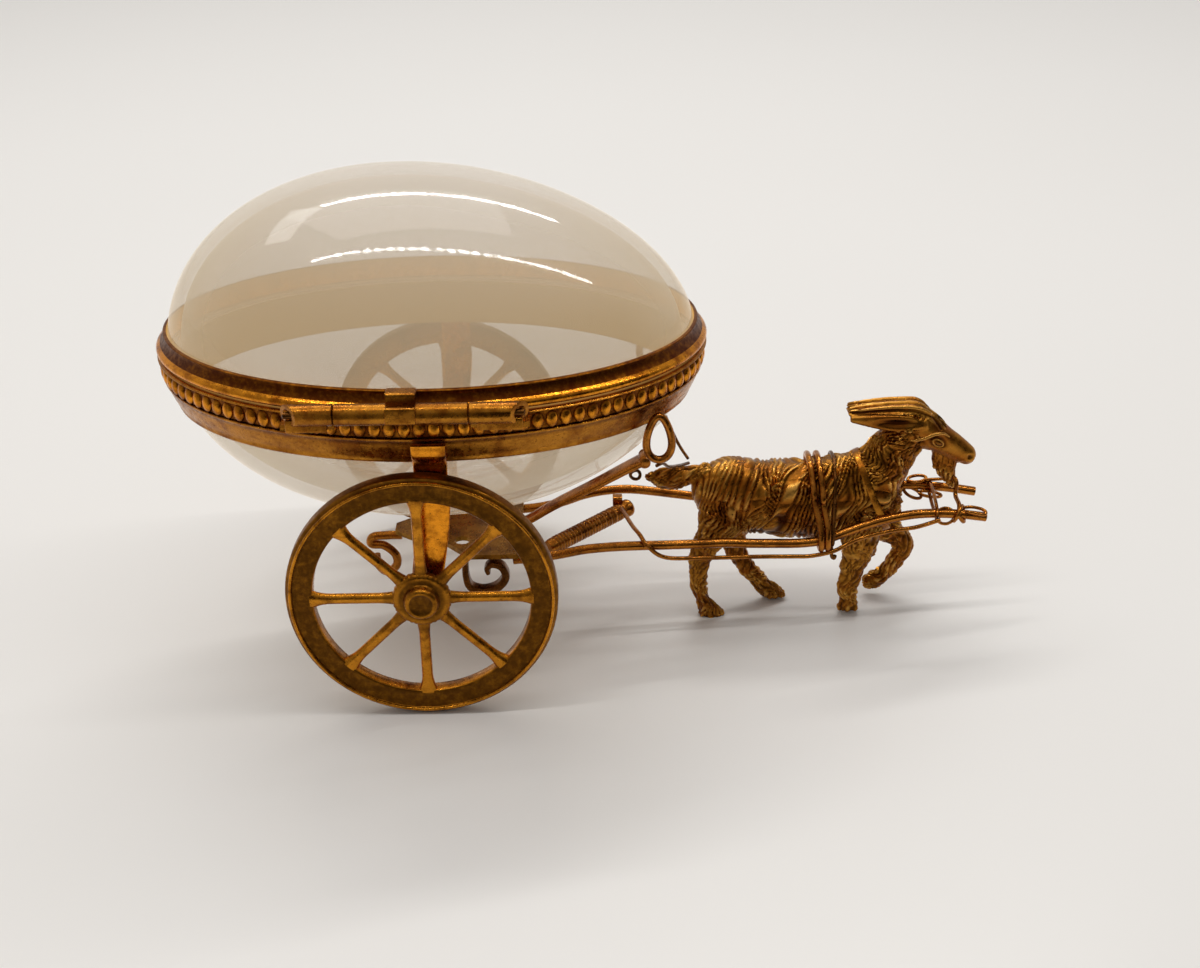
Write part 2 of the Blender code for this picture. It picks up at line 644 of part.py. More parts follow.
def make_shafts(gilt, root):
    for name, side in (("shaft_near", -1), ("shaft_far", 1)):
        stations = [shaft_place(i / 20) for i in range(21)]
        route = [(x, side * y, z) for x, y, z in stations]
        wire(name, smooth_route(route, 1), SHAFT_RADIUS, gilt, root, sides=6)
    x, y, z = shaft_at(17.5)
    far_x, far_y, far_z = shaft_at(30.5)
    apart = SHAFT_RADIUS + CROSSBAR_RADIUS + PIECE_GAP
    rear = Vector((x - 0.6 * UNIT, -(y - apart - 0.8 * UNIT), z - 0.4 * UNIT))
    front = Vector((far_x, far_y - apart - 0.8 * UNIT, far_z - 1.6 * UNIT))
    run = (front - rear).normalized()
    across = Vector((-run.y, run.x, 0)).normalized()
    up = run.cross(across)
    rows = []
    profile = ((0, 0.8), (0.06, 1.0), (0.86, 1.0), (0.9, 0.8), (0.93, 1.1), (0.98, 1.1), (1.0, 0.6))
    for along, radius in profile:
        middle = rear + (front - rear) * along
        rows.append([tuple(middle + (across * math.cos(math.pi * i / 5) + up * math.sin(math.pi * i / 5))
                     * radius * CROSSBAR_RADIUS) for i in range(10)])
    bar = mesh_object("crossbar", *loft(rows), gilt, root)
    tab_top = far_z + 0.2 * UNIT
    tab = box((front.x - 3.0 * UNIT, front.y - 0.6 * UNIT, front.z),
              (front.x - 1.4 * UNIT, front.y + 1.0 * UNIT, tab_top))
    combine(bar, "UNION", mesh_object("crossbar_tab", *tab, gilt, root, helper=True))
    return front


def make_trace(front, gilt, root):
    """The wire from the crossbar's end, over the near shaft and along under it to the goat's chest."""
    beside = SHAFT_RADIUS + TRACE_RADIUS + PIECE_GAP
    over = shaft_at(31.6)
    down = shaft_at(33.4)
    points = [
        (front.x - 1.6 * UNIT, front.y - 3.8 * UNIT, front.z + 1.6 * UNIT),
        (over[0] - 1.2 * UNIT, -(over[1] - 5.0 * UNIT), over[2] + UNIT),
        (over[0], -(over[1] - 0.8 * UNIT), over[2] + beside + 0.2 * UNIT),
        (down[0] - 0.6 * UNIT, -(down[1] + beside), down[2] + 0.5 * UNIT),
    ]
    below = [(35.5, 1.1, -1.6), (41, 1.2, -1.9), (50.5, 1.0, -1.8), (56, 0.2, -1.5), (59, 0, -1.3),
             (62, 0, -1.3), (64.5, 0.3, -1.4), (67.5, 0.7, -1.7), (72, 0.6, -2.0), (76, 0.7, -2.0),
             (79.6, 1.4, -0.4)]
    for x, out, drop in below:
        place_on = shaft_at(x)
        points.append((place_on[0], -(place_on[1] + out * UNIT), place_on[2] + drop * UNIT))
    wire("trace_near", smooth_route(points, 2), TRACE_RADIUS, gilt, root, sides=4)


TORSO = [
    # x, top, bottom, half width
    (40.3, 24.4, 20.6, 1.6),
    (41.4, 25.7, 18.2, 3.0),
    (43.6, 26.6, 15.6, 4.3),
    (47.0, 26.7, 14.4, 5.1),
    (51.5, 26.3, 13.9, 5.4),
    (56.0, 26.2, 13.4, 5.5),
    (60.5, 26.5, 12.9, 5.3),
    (64.5, 27.2, 12.8, 5.0),
    (67.8, 28.0, 13.2, 4.6),
    (70.6, 27.6, 14.0, 4.0),
    (72.8, 24.4, 15.2, 3.0),
    (74.2, 20.6, 16.4, 1.5),
]


def torso_at(x):
    """(top, bottom, half width) of the goat's trunk."""
    for low, high in zip(TORSO, TORSO[1:]):
        if low[0] <= x <= high[0]:
            t = (x - low[0]) / (high[0] - low[0])
            return tuple(a + (b - a) * t for a, b in zip(low[1:], high[1:]))
    return TORSO[-1][1:]


def trunk():
    """The trunk, with locks of fur as upright ridges on its lower sides."""
    rows, sides, lock = [], 24, 2.9
    stations = 44
    for station in range(stations + 1):
        x = TORSO[0][0] + (TORSO[-1][0] - TORSO[0][0]) * station / stations
        top, bottom, half = torso_at(x)
        row = []
        for i in range(sides):
            angle = 2 * math.pi * i / sides
            turn = angle if math.cos(angle) > 0 else math.pi - angle
            low = max(0.0, -math.sin(turn - 0.3) + 0.35)
            ridge = 0.38 * min(low, 1) * math.sin(2 * math.pi * (x + 0.25 * half * math.sin(angle)) / lock)
            size = 1 + ridge / max(half, 2.5)
            middle = (top + bottom) / 2
            row.append((x, half * math.cos(angle) * size,
                        middle + (top - bottom) / 2 * math.sin(angle) * size))
        rows.append(row)
    return loft(rows)


def limb(stations, sides=12):
    """A solid through level or tilted ellipses. Each station is (x, y, z, half length, half width, tilt)."""
    rows = []
    for x, y, z, half, across, tilt in stations:
        lean = math.radians(tilt)
        row = []
        for i in range(sides):
            angle = 2 * math.pi * i / sides
            along = half * math.cos(angle)
            row.append((x + along * math.cos(lean), y + across * math.sin(angle),
                        z + along * math.sin(lean)))
        rows.append(row)
    return loft(rows)


def goat_forms():
    """Every form of the goat, in units, before they are fused."""
    forms = [trunk()]
    # Neck, then the head with its brow, cheek and muzzle
    forms.append(limb([
        (67.6, 0, 22.5, 6.0, 4.4, -38), (70.0, 0, 26.0, 5.2, 3.9, -36),
        (72.2, 0, 28.8, 4.3, 3.2, -32), (74.2, 0, 31.4, 3.6, 2.7, -28),
        (75.6, 0, 33.4, 2.9, 2.3, -30),
    ]))
    forms.append(limb([
        (72.9, 0, 34.2, 0.9, 1.3, 55), (74.0, 0, 33.8, 2.2, 2.3, 58), (76.0, 0, 32.6, 3.0, 2.7, 60),
        (78.2, 0, 31.1, 2.9, 2.6, 60), (80.4, 0, 29.8, 2.3, 2.1, 60), (82.6, 0, 28.4, 1.8, 1.6, 62),
        (84.4, 0, 27.2, 1.5, 1.35, 66), (85.2, 0, 26.6, 0.8, 0.8, 66),
    ], 14))
    # Beard
    forms.append(limb([
        (80.2, 0, 27.2, 1.5, 1.0, 0), (80.6, 0, 25.0, 1.6, 0.9, 0), (81.3, 0, 23.2, 1.0, 0.7, 0),
        (81.7, 0, 21.6, 0.4, 0.35, 0),
    ], 8))
    # Tail, scalloped along its lower edge
    forms.append(limb([
        (42.0, 0, 24.4, 1.7, 1.6, 90), (40.0, 0, 24.2, 1.5, 1.4, 90), (38.2, 0, 23.8, 2.2, 1.3, 90),
        (37.4, 0, 23.8, 1.9, 1.2, 90), (36.6, 0, 23.6, 2.2, 1.2, 90), (35.8, 0, 23.7, 1.8, 1.1, 90),
        (35.0, 0, 23.6, 1.9, 1.0, 90), (34.0, 0, 23.8, 1.2, 0.8, 90), (32.8, 0, 24.0, 0.5, 0.5, 90),
    ], 8))
    for side in (-1, 1):
        # Horn and swept-back ear
        forms.append(limb([
            (78.6, 1.1 * side, 33.6, 1.2, 0.8, 100), (77.2, 1.1 * side, 35.2, 1.1, 0.9, 130),
            (74.6, 1.1 * side, 36.1, 0.9, 0.9, 80), (70.5, 1.1 * side, 36.2, 0.8, 0.8, 90),
            (67.0, 1.1 * side, 35.8, 0.6, 0.65, 90), (64.8, 1.1 * side, 35.5, 0.4, 0.5, 90),
        ], 8))
        forms.append(limb([
            (76.0, 1.7 * side, 33.2, 0.7, 0.7, 90), (73.5, 2.2 * side, 33.4, 1.0, 0.6, 90),
            (70.0, 2.2 * side, 33.6, 1.1, 0.55, 90), (67.0, 2.0 * side, 33.4, 0.8, 0.5, 90),
            (65.0, 1.8 * side, 33.3, 0.4, 0.4, 90),
        ], 8))
    # Near hind leg, which carries the goat, then the far one stepping forward
    forms.append(limb([
        (45.6, -2.6, 19.5, 4.3, 2.6, 0), (44.6, -3.0, 15.5, 3.7, 2.3, 0),
        (42.4, -3.2, 12.2, 2.5, 1.8, 8), (41.5, -3.1, 9.6, 1.9, 1.4, 10),
        (41.3, -3.1, 6.8, 1.5, 1.2, 0), (41.4, -3.1, 4.6, 1.45, 1.2, -10),
        (42.2, -3.1, 2.9, 1.6, 1.3, -20), (43.2, -3.1, 1.5, 2.0, 1.5, -12),
        (43.5, -3.1, -0.8, 2.1, 1.5, 0),
    ]))
    forms.append(limb([
        (46.0, 2.6, 18.5, 4.2, 2.5, 0), (47.0, 2.9, 14.5, 3.4, 2.2, 0),
        (47.4, 2.8, 11.4, 2.4, 1.7, 10), (48.0, 2.6, 8.6, 1.8, 1.4, 25),
        (49.4, 2.3, 6.0, 1.5, 1.2, 35), (51.2, 2.0, 3.9, 1.4, 1.2, 35),
        (52.6, 1.8, 2.3, 1.6, 1.3, 20), (54.0, 1.7, 1.1, 2.1, 1.4, 0),
        (54.2, 1.7, 0.3, 2.1, 1.4, 0),
    ]))
    # Near foreleg, then the far one raised
    forms.append(limb([
        (67.4, -2.4, 18.5, 4.0, 2.5, 0), (67.5, -2.8, 14.5, 3.5, 2.2, 0),
        (67.4, -3.0, 11.2, 2.7, 1.7, 0), (66.6, -3.0, 8.2, 2.1, 1.4, 0),
        (66.1, -3.0, 5.6, 1.9, 1.3, 0), (65.9, -3.0, 3.6, 1.6, 1.2, 0),
        (66.1, -3.0, 2.2, 1.4, 1.2, 0), (66.3, -3.0, 1.2, 1.8, 1.4, 0),
        (66.3, -3.0, 0.4, 1.8, 1.4, 0),
    ]))
    forms.append(limb([
        (68.6, 2.4, 18.0, 3.8, 2.4, 10), (71.0, 2.7, 14.2, 3.1, 2.0, 30),
        (73.6, 2.8, 11.6, 2.2, 1.7, 50), (75.4, 2.8, 9.8, 1.9, 1.5, 10),
        (75.6, 2.8, 8.2, 1.8, 1.4, -20), (74.4, 2.7, 6.0, 1.5, 1.2, -30),
        (73.2, 2.6, 4.3, 1.4, 1.2, -35), (72.2, 2.6, 3.2, 1.6, 1.3, -60),
        (70.6, 2.6, 2.4, 1.5, 1.2, -80), (69.4, 2.6, 2.4, 0.9, 0.9, -90),
    ]))
    return forms


def make_goat(bronze, root):
    points, faces = [], []
    for more, joins in goat_forms():
        faces += [tuple(i + len(points) for i in face) for face in joins]
        points += [drawn(*point) for point in more]
    goat = mesh_object("goat", points, faces, bronze, root)
    fuse = goat.modifiers.new("fuse", "REMESH")
    fuse.mode = "VOXEL"
    fuse.voxel_size = GOAT_VOXEL
    thin = goat.modifiers.new("thin", "DECIMATE")
    graph = bpy.context.evaluated_depsgraph_get()
    thin.ratio = 1.0
    fused = goat.evaluated_get(graph)
    dense = sum(len(face.vertices) - 2 for face in fused.data.polygons)
    thin.ratio = min(1.0, GOAT_FACES / dense)
    floor = box((0, -EGG_HALF_WIDTH, -5 * MM), (3 * GOAT_LENGTH, EGG_HALF_WIDTH, 0))
    combine(goat, "DIFFERENCE", mesh_object("goat_floor", *floor, bronze, root, helper=True))


def strap_loop(name, x, lean, radius, clear, kind, parent):
    """A wire round the goat's trunk and under both shafts."""
    rest = shaft_at(x)
    top, bottom, half = torso_at(x)
    outside = (rest[1] + SHAFT_RADIUS + radius + PIECE_GAP) / UNIT
    under = (rest[2] - SHAFT_RADIUS - 2 * TRACE_RADIUS - radius - 2 * PIECE_GAP) / UNIT
    level = rest[2] / UNIT
    away = clear + radius / UNIT
    side = [
        (-lean, 0.0, top + away),
        (-0.9 * lean, 0.55 * half, top + 0.75 * away - 0.4),
        (-0.7 * lean, 0.98 * half + 0.3, top - 3.4),
        (-0.2 * lean, half + away + 0.5, level + 4.2),
        (0.1 * lean, outside - 0.25, level + 1.3),
        (0.2 * lean, outside + 0.1, level - 0.1),
        (0.3 * lean, outside - 0.5, under + 0.35),
        (0.3 * lean, rest[1] / UNIT - 0.3, under - 0.1),
        (0.3 * lean, 0.75 * half, bottom - away - 0.1),
        (0.3 * lean, 0.0, bottom - away - 0.5),
    ]
    route = [drawn(x + dx, -y, z) for dx, y, z in side]
    route += [drawn(x + dx, y, z) for dx, y, z in side[-2:0:-1]]
    wire(name, route, radius, kind, parent, sides=4, loop=True)


def make_harness(gilt, root):
    strap_loop("saddle_band_rear", 59.4, 2.4, BAND_WIRE, 0.45, gilt, root)
    strap_loop("saddle_band_front", 60.9, 2.4, BAND_WIRE, 0.45, gilt, root)
    strap_loop("girth_wire", 62.6, 1.0, GIRTH_WIRE, 0.6, gilt, root)
    collar = []
    for i in range(16):
        angle = 2 * math.pi * i / 16
        along = 7.9 * math.cos(angle)
        collar.append(drawn(70.6 - 0.62 * along, 5.2 * math.sin(angle), 23.7 + 0.79 * along))
    wire("collar", collar, COLLAR_WIRE, gilt, root, sides=4, loop=True)
    tip = shaft_at(81.5)
    away = (SHAFT_RADIUS + TIE_WIRE + 2 * PIECE_GAP) / UNIT
    reach, level = tip[1] / UNIT, tip[2] / UNIT
    tie = [
        (81.2, reach + away, level),
        (81.3, reach + 0.5, level + away),
        (81.6, 2.0, level + away + 0.1),
        (81.6, -2.0, level + away + 0.1),
        (81.3, -reach - 0.5, level + away),
        (81.2, -reach - away, level),
        (81.3, -reach - 0.5, level - away),
        (81.6, -2.0, level - away - 0.1),
        (81.6, 2.0, level - away - 0.1),
        (81.3, reach + 0.5, level - away),
    ]
    wire("shaft_tie", [drawn(*point) for point in tie], TIE_WIRE, gilt, root, sides=4, loop=True)
    bit = [
        (82.9, 1.0, 24.4),
        (82.9, -0.2, 25.0),
        (83.0, -1.3, 24.2),
        (82.9, -2.0, level + 3.4),
        (82.9, -reach + 0.4, level + 1.8),
        (82.9, -reach - away, level + 0.2),
        (83.0, -reach - 0.3, level - away - 0.2),
    ]
    wire("bit_wire", smooth_route([drawn(*point) for point in bit], 2), TIE_WIRE, gilt, root, sides=4)


def make_loops(gilt, root):
    """The drop-shaped loops under the band's front, each with the rein that runs to the goat's rump."""
    share = LOOP_X / (EGG_HALF_LENGTH + BAND_SWELL)
    out = (EGG_HALF_WIDTH + BAND_SWELL) * math.sqrt(1 - share**2) + LOOP_WIRE + 0.4 * MM
    top = SEAM + BAND_BOTTOM + 2.2 * MM
    for side, loop_name, rein_name in ((-1, "eye_loop_near", "rein_near"), (1, "eye_loop_far", "rein_far")):
        loop = []
        for i in range(14):
            angle = 2 * math.pi * i / 14
            width = LOOP_WIDTH / 2 * math.sin(angle) * (0.78 - 0.22 * math.cos(angle))
            loop.append((LOOP_X + width, side * out, top - LOOP_HEIGHT / 2 * (1 - math.cos(angle))))
        wire(loop_name, loop, LOOP_WIRE, gilt, root, sides=4, loop=True)
        foot = top - LOOP_HEIGHT - LOOP_WIRE - REIN_WIRE - 2 * PIECE_GAP
        rein = [(LOOP_X - 0.4 * MM, side * (out + 0.2 * MM), foot + 0.2 * MM),
                (LOOP_X + 0.6 * MM, side * (out - MM), foot),
                (LOOP_X + 1.8 * MM, side * (0.6 * out), foot - 3.6 * MM),
                drawn(38.0, side * 0.25 * out / UNIT, 28.2), drawn(39.6, side * 0.8, 26.8)]
        wire(rein_name, smooth_route(rein, 3), REIN_WIRE, gilt, root, sides=4)


def settle(root):
    """Moves the root so that the origin is the middle of the footprint, on the floor."""
    bpy.context.view_layer.update()
    graph = bpy.context.evaluated_depsgraph_get()
    corners = []
    for piece in bpy.context.scene.objects:
        if piece.type == "EMPTY" or piece.hide_render:
            continue
        shown = piece.evaluated_get(graph)
        mesh = shown.to_mesh()
        corners += [shown.matrix_world @ corner.co for corner in mesh.vertices]
        shown.to_mesh_clear()
    ends = [(min(c[i] for c in corners), max(c[i] for c in corners)) for i in range(3)]
    root.location = (-sum(ends[0]) / 2, -sum(ends[1]) / 2, -ends[2][0])


def empty(name, location, parent):
    made = bpy.data.objects.new(name, None)
    bpy.context.scene.collection.objects.link(made)
    made.location = location
    made.parent = parent
    return made


def main():
    for old in list(bpy.data.objects):
        bpy.data.objects.remove(old)
    gilt = material("gilt brass", (0.56, 0.33, 0.08), 1.0, 0.32)
    bronze = material("patinated brass", (0.33, 0.22, 0.07), 1.0, 0.42)
    milk = material("milk glass", (0.86, 0.83, 0.78), 0.0, 0.08, 0.5)
    root = empty("egg_carriage", (0, 0, 0), None)
    lid = empty("lid_body", (0, 0, 0), root)
    glass_shell("lid_glass", LID_RISE, LID_TAPER, 1, milk, lid)
    glass_shell("bowl_glass", BOWL_DEPTH, BOWL_TAPER, -1, milk, root)
    make_mounts(gilt, root, lid)
    make_hinge(gilt, root, lid)
    for name, side in (("wheel_near", -1), ("wheel_far", 1)):
        hub = empty(name + "_axis", (AXLE_X, 0, AXLE_HEIGHT), root)
        make_wheel(name, side, gilt, hub)
    make_underframe(gilt, root)
    make_trace(make_shafts(gilt, root), gilt, root)
    make_goat(bronze, root)
    make_harness(gilt, root)
    make_loops(gilt, root)
    settle(root)


main()
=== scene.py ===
import math

import bmesh
import bpy
import numpy as np
from mathutils import Matrix, Vector
from mathutils.bvhtree import BVHTree


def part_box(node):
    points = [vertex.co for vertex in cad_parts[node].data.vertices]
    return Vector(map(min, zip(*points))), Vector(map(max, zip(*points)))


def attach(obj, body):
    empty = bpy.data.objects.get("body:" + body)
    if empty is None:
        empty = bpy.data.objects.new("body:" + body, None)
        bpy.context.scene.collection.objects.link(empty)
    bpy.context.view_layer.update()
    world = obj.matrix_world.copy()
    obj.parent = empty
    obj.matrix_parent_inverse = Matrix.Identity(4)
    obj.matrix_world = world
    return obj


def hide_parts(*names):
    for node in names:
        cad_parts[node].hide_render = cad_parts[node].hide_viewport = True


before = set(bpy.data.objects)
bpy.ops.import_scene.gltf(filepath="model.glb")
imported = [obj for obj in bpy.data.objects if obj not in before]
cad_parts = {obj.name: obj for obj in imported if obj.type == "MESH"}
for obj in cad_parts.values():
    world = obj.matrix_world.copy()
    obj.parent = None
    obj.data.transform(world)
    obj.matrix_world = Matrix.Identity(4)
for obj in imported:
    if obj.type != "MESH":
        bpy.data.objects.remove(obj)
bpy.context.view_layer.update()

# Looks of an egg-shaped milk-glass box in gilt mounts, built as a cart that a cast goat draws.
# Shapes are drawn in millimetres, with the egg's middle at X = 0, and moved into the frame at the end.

MM = 0.001
AXLE_FROM_EGG = -1.0
AXLE_LOW, AXLE_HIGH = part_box("axle")
ORIGIN = np.array([(AXLE_LOW.x + AXLE_HIGH.x) / 2 - AXLE_FROM_EGG * MM, 0.0, 0.0])


def span(node):
    """(lowest corner, highest corner) of a node in millimetres from the egg's middle."""
    return tuple((np.array(corner) - ORIGIN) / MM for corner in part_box(node))


def middle(node):
    low, high = span(node)
    return (low + high) / 2


# Sizes read from the frame
LID_LOW, LID_HIGH = span("lid_glass")
BOWL_LOW, BOWL_HIGH = span("bowl_glass")
SEAM = (LID_LOW[2] + BOWL_HIGH[2]) / 2
SEAM_GAP = LID_LOW[2] - BOWL_HIGH[2]
EGG_HALF_LENGTH = (LID_HIGH[0] - LID_LOW[0]) / 2
EGG_HALF_WIDTH = (LID_HIGH[1] - LID_LOW[1]) / 2
LID_RISE = LID_HIGH[2] - LID_LOW[2]
BOWL_DEPTH = BOWL_HIGH[2] - BOWL_LOW[2]
BAND_BOTTOM = span("bowl_mount")[0][2] - SEAM
HINGE = middle("hinge_pin")
AXLE_Z = middle("axle")[2]
PLATE_LOW = span("frame_plate")[0]

LID_TAPER = 0.11
BOWL_TAPER = 0.03
GLASS_WALL = 2.0
MOUNT_FIT = 0.25
AROUND = 180
UPRIGHT = np.array([0.0, 0.0, 1.0])
SIDEWAYS = np.array([0.0, 1.0, 0.0])


# Curves and surfaces

def smooth(points, steps, closed=False):
    """A smooth curve read through the given points, which may have any number of values each."""
    points = np.asarray(points, float)
    if closed:
        route = np.vstack([points[-1:], points, points[:2]])
    else:
        route = np.vstack([2 * points[:1] - points[1:2], points, 2 * points[-1:] - points[-2:-1]])
    t = (np.arange(steps) / steps)[:, None]
    found = []
    for a, b, c, d in zip(route, route[1:], route[2:], route[3:]):
        found.append(0.5 * (2 * b + (c - a) * t + (2 * a - 5 * b + 4 * c - d) * t**2
                            + (3 * b - a - 3 * c + d) * t**3))
    found = np.vstack(found)
    return found if closed else np.vstack([found, points[-1:]])


def unit(vectors):
    return vectors / np.maximum(np.linalg.norm(vectors, axis=-1, keepdims=True), 1e-9)


def full_turn(count):
    """Evenly spaced angles round a circle."""
    return 2 * math.pi * np.arange(count) / count


def skin(rows, closed=False):
    """(points, faces) over rows of points, each row a closed loop. Open ends are capped."""
    rows = np.asarray(rows)
    count, around = rows.shape[:2]
    i = np.arange(around)
    j = (i + 1) % around
    faces = []
    for row in range(count if closed else count - 1):
        here, there = row * around, ((row + 1) % count) * around
        faces += np.stack([here + i, here + j, there + j, there + i], 1).tolist()
    if not closed:
        faces.append(list(range(around)))
        faces.append(list(range((count - 1) * around, count * around)))
    return rows.reshape(-1, 3), faces


def merged(shapes):
    points, faces = [], []
    shift = 0
    for more, joins in shapes:
        points.append(np.asarray(more, float))
        faces += [[i + shift for i in face] for face in joins]
        shift += len(more)
    return np.vstack(points), faces


def headings(route, closed):
    """The direction of travel at each point, and a sideways direction carried along without twist."""
    if closed:
        ahead = unit(np.roll(route, -1, 0) - np.roll(route, 1, 0))
    else:
        ahead = unit(np.gradient(route, axis=0))
    axis = np.eye(3)[np.argmin(np.abs(ahead[0]))]
    across = [unit(axis - ahead[0] * (axis @ ahead[0]))]
    for step in ahead[1:]:
        across.append(unit(across[-1] - step * (across[-1] @ step)))
    across = np.array(across)
    if closed:
        last = unit(across[-1] - ahead[0] * (across[-1] @ ahead[0]))
        twist = math.atan2(np.cross(last, across[0]) @ ahead[0], last @ across[0])
        share = (np.arange(len(route)) / len(route) * twist)[:, None]
        across = across * np.cos(share) + np.cross(ahead, across) * np.sin(share)
    return ahead, across


def sweep(route, section, side=None, closed=False):
    """A section of (sideways, up) points carried along a route. It may differ from station to station."""
    route = np.asarray(route, float)
    ahead, across = headings(route, closed)
    if side is not None:
        across = unit(side - ahead * (ahead @ side)[:, None])
    up = np.cross(ahead, across)
    section = np.broadcast_to(section, (len(route), *np.asarray(section).shape[-2:]))
    rows = (route[:, None] + section[..., :1] * across[:, None] + section[..., 1:] * up[:, None])
    return skin(rows, closed)


def circle(radius, sides):
    angle = full_turn(sides)
    return np.multiply.outer(np.asarray(radius, float), np.stack([np.cos(angle), np.sin(angle)], 1))


def tube(route, radius, sides=14, closed=False):
    return sweep(route, circle(radius, sides), closed=closed)


def soft_box(half_width, half_height, sides=20, squareness=5.0):
    """A rectangle's outline with rounded corners."""
    angle = 2 * math.pi * (np.arange(sides) + 0.5) / sides
    cos, sin = np.cos(angle), np.sin(angle)
    power = 2 / squareness
    flat = np.stack([np.sign(cos) * np.abs(cos)**power, np.sign(sin) * np.abs(sin)**power], 1)
    width, height = np.broadcast_arrays(half_width, half_height)
    width, height = width[..., None].astype(float), height[..., None].astype(float)
    return np.stack([flat[:, 0] * width, flat[:, 1] * height], -1)


def turned(profile, sides, centre, axis, direction=1, closed=False):
    """A profile of (radius, distance along the axis) turned round it. The axis is 0 for X or 1 for Y."""
    profile = np.asarray(profile, float)
    angle = full_turn(sides)
    rows = np.zeros((len(profile), sides, 3))
    one, two = (1, 2) if axis == 0 else (0, 2)
    rows[..., one] = profile[:, :1] * np.cos(angle)
    rows[..., two] = profile[:, :1] * np.sin(angle)
    rows[..., axis] = direction * profile[:, 1:]
    return skin(rows + np.asarray(centre, float), closed)


def ellipsoid(centre, axes, across=12, down=8):
    """A small closed ball. axes holds three half-axis vectors, the last one through its poles."""
    tilt = math.pi * (np.arange(down) + 0.5) / down
    turn = full_turn(across)
    one, two, three = (np.asarray(a, float) for a in axes)
    rows = (np.multiply.outer(np.outer(np.sin(tilt), np.cos(turn)), one)
            + np.multiply.outer(np.outer(np.sin(tilt), np.sin(turn)), two)
            + np.cos(tilt)[:, None, None] * three)
    return skin(rows + np.asarray(centre, float))


def block(centre, half, squareness=8.0):
    """A rectangular block with softened edges, its length along X."""
    centre = np.asarray(centre, float)
    steps = np.array([-1, -0.985, -0.95, 0.95, 0.985, 1])
    shrink = np.array([0.8, 0.93, 1, 1, 0.93, 0.8])
    route = centre + np.outer(steps * half[0], [1, 0, 0])
    return sweep(route, soft_box(half[1] * shrink, half[2] * shrink, 24, squareness), side=SIDEWAYS)


# Materials

# Sockets of the mix node that hold its share, its two colours and its result
MIX_SHARE, MIX_ONE, MIX_TWO, MIX_RESULT = 0, 6, 7, 2


def begin(name, **plain):
    """A material with one shader, whose plain values are set on its own sockets."""
    made = bpy.data.materials.new(name)
    made.use_nodes = True
    tree = made.node_tree
    shader = tree.nodes["Principled BSDF"]
    for socket, value in plain.items():
        shader.inputs[socket.replace("_", " ")].default_value = value
    place = tree.nodes.new("ShaderNodeTexCoord").outputs["Object"]
    return made, tree, shader, place


def noise(tree, place, size, detail=4.0, rough=0.55, stretch=None):
    """Noise whose features are about so many millimetres across."""
    if stretch:
        scaled = tree.nodes.new("ShaderNodeMapping")
        scaled.inputs["Scale"].default_value = stretch
        tree.links.new(place, scaled.inputs["Vector"])
        place = scaled.outputs["Vector"]
    found = tree.nodes.new("ShaderNodeTexNoise")
    found.inputs["Scale"].default_value = 1 / (size * MM)
    found.inputs["Detail"].default_value = detail
    found.inputs["Roughness"].default_value = rough
    tree.links.new(place, found.inputs["Vector"])
    return found.outputs["Fac"]


def ramp(tree, value, low, high, out_low=0.0, out_high=1.0):
    found = tree.nodes.new("ShaderNodeMapRange")
    found.interpolation_type = "SMOOTHSTEP"
    for socket, number in zip(("From Min", "From Max", "To Min", "To Max"), (low, high, out_low, out_high)):
        found.inputs[socket].default_value = number
    tree.links.new(value, found.inputs["Value"])
    return found.outputs["Result"]


def blend(tree, share, one, two):
    """Colour two over colour one by a share. Either may be a colour or a socket."""
    found = tree.nodes.new("ShaderNodeMix")
    found.data_type = "RGBA"
    for place, value in ((MIX_SHARE, share), (MIX_ONE, one), (MIX_TWO, two)):
        socket = found.inputs[place]
        if isinstance(value, tuple):
            socket.default_value = (*value, 1)
        elif isinstance(value, float):
            socket.default_value = value
        else:
            tree.links.new(value, socket)
    return found.outputs[MIX_RESULT]


def combine(tree, operation, one, two):
    found = tree.nodes.new("ShaderNodeMath")
    found.operation = operation
    found.use_clamp = True
    for socket, value in zip(found.inputs, (one, two)):
        if isinstance(value, float):
            socket.default_value = value
        else:
            tree.links.new(value, socket)
    return found.outputs[0]


def attribute(tree, name):
    found = tree.nodes.new("ShaderNodeAttribute")
    found.attribute_name = name
    return found.outputs["Fac"]


def bump(tree, shader, height, strength, depth):
    found = tree.nodes.new("ShaderNodeBump")
    found.inputs["Strength"].default_value = strength
    found.inputs["Distance"].default_value = depth * MM
    tree.links.new(height, found.inputs["Height"])
    tree.links.new(found.outputs["Normal"], shader.inputs["Normal"])


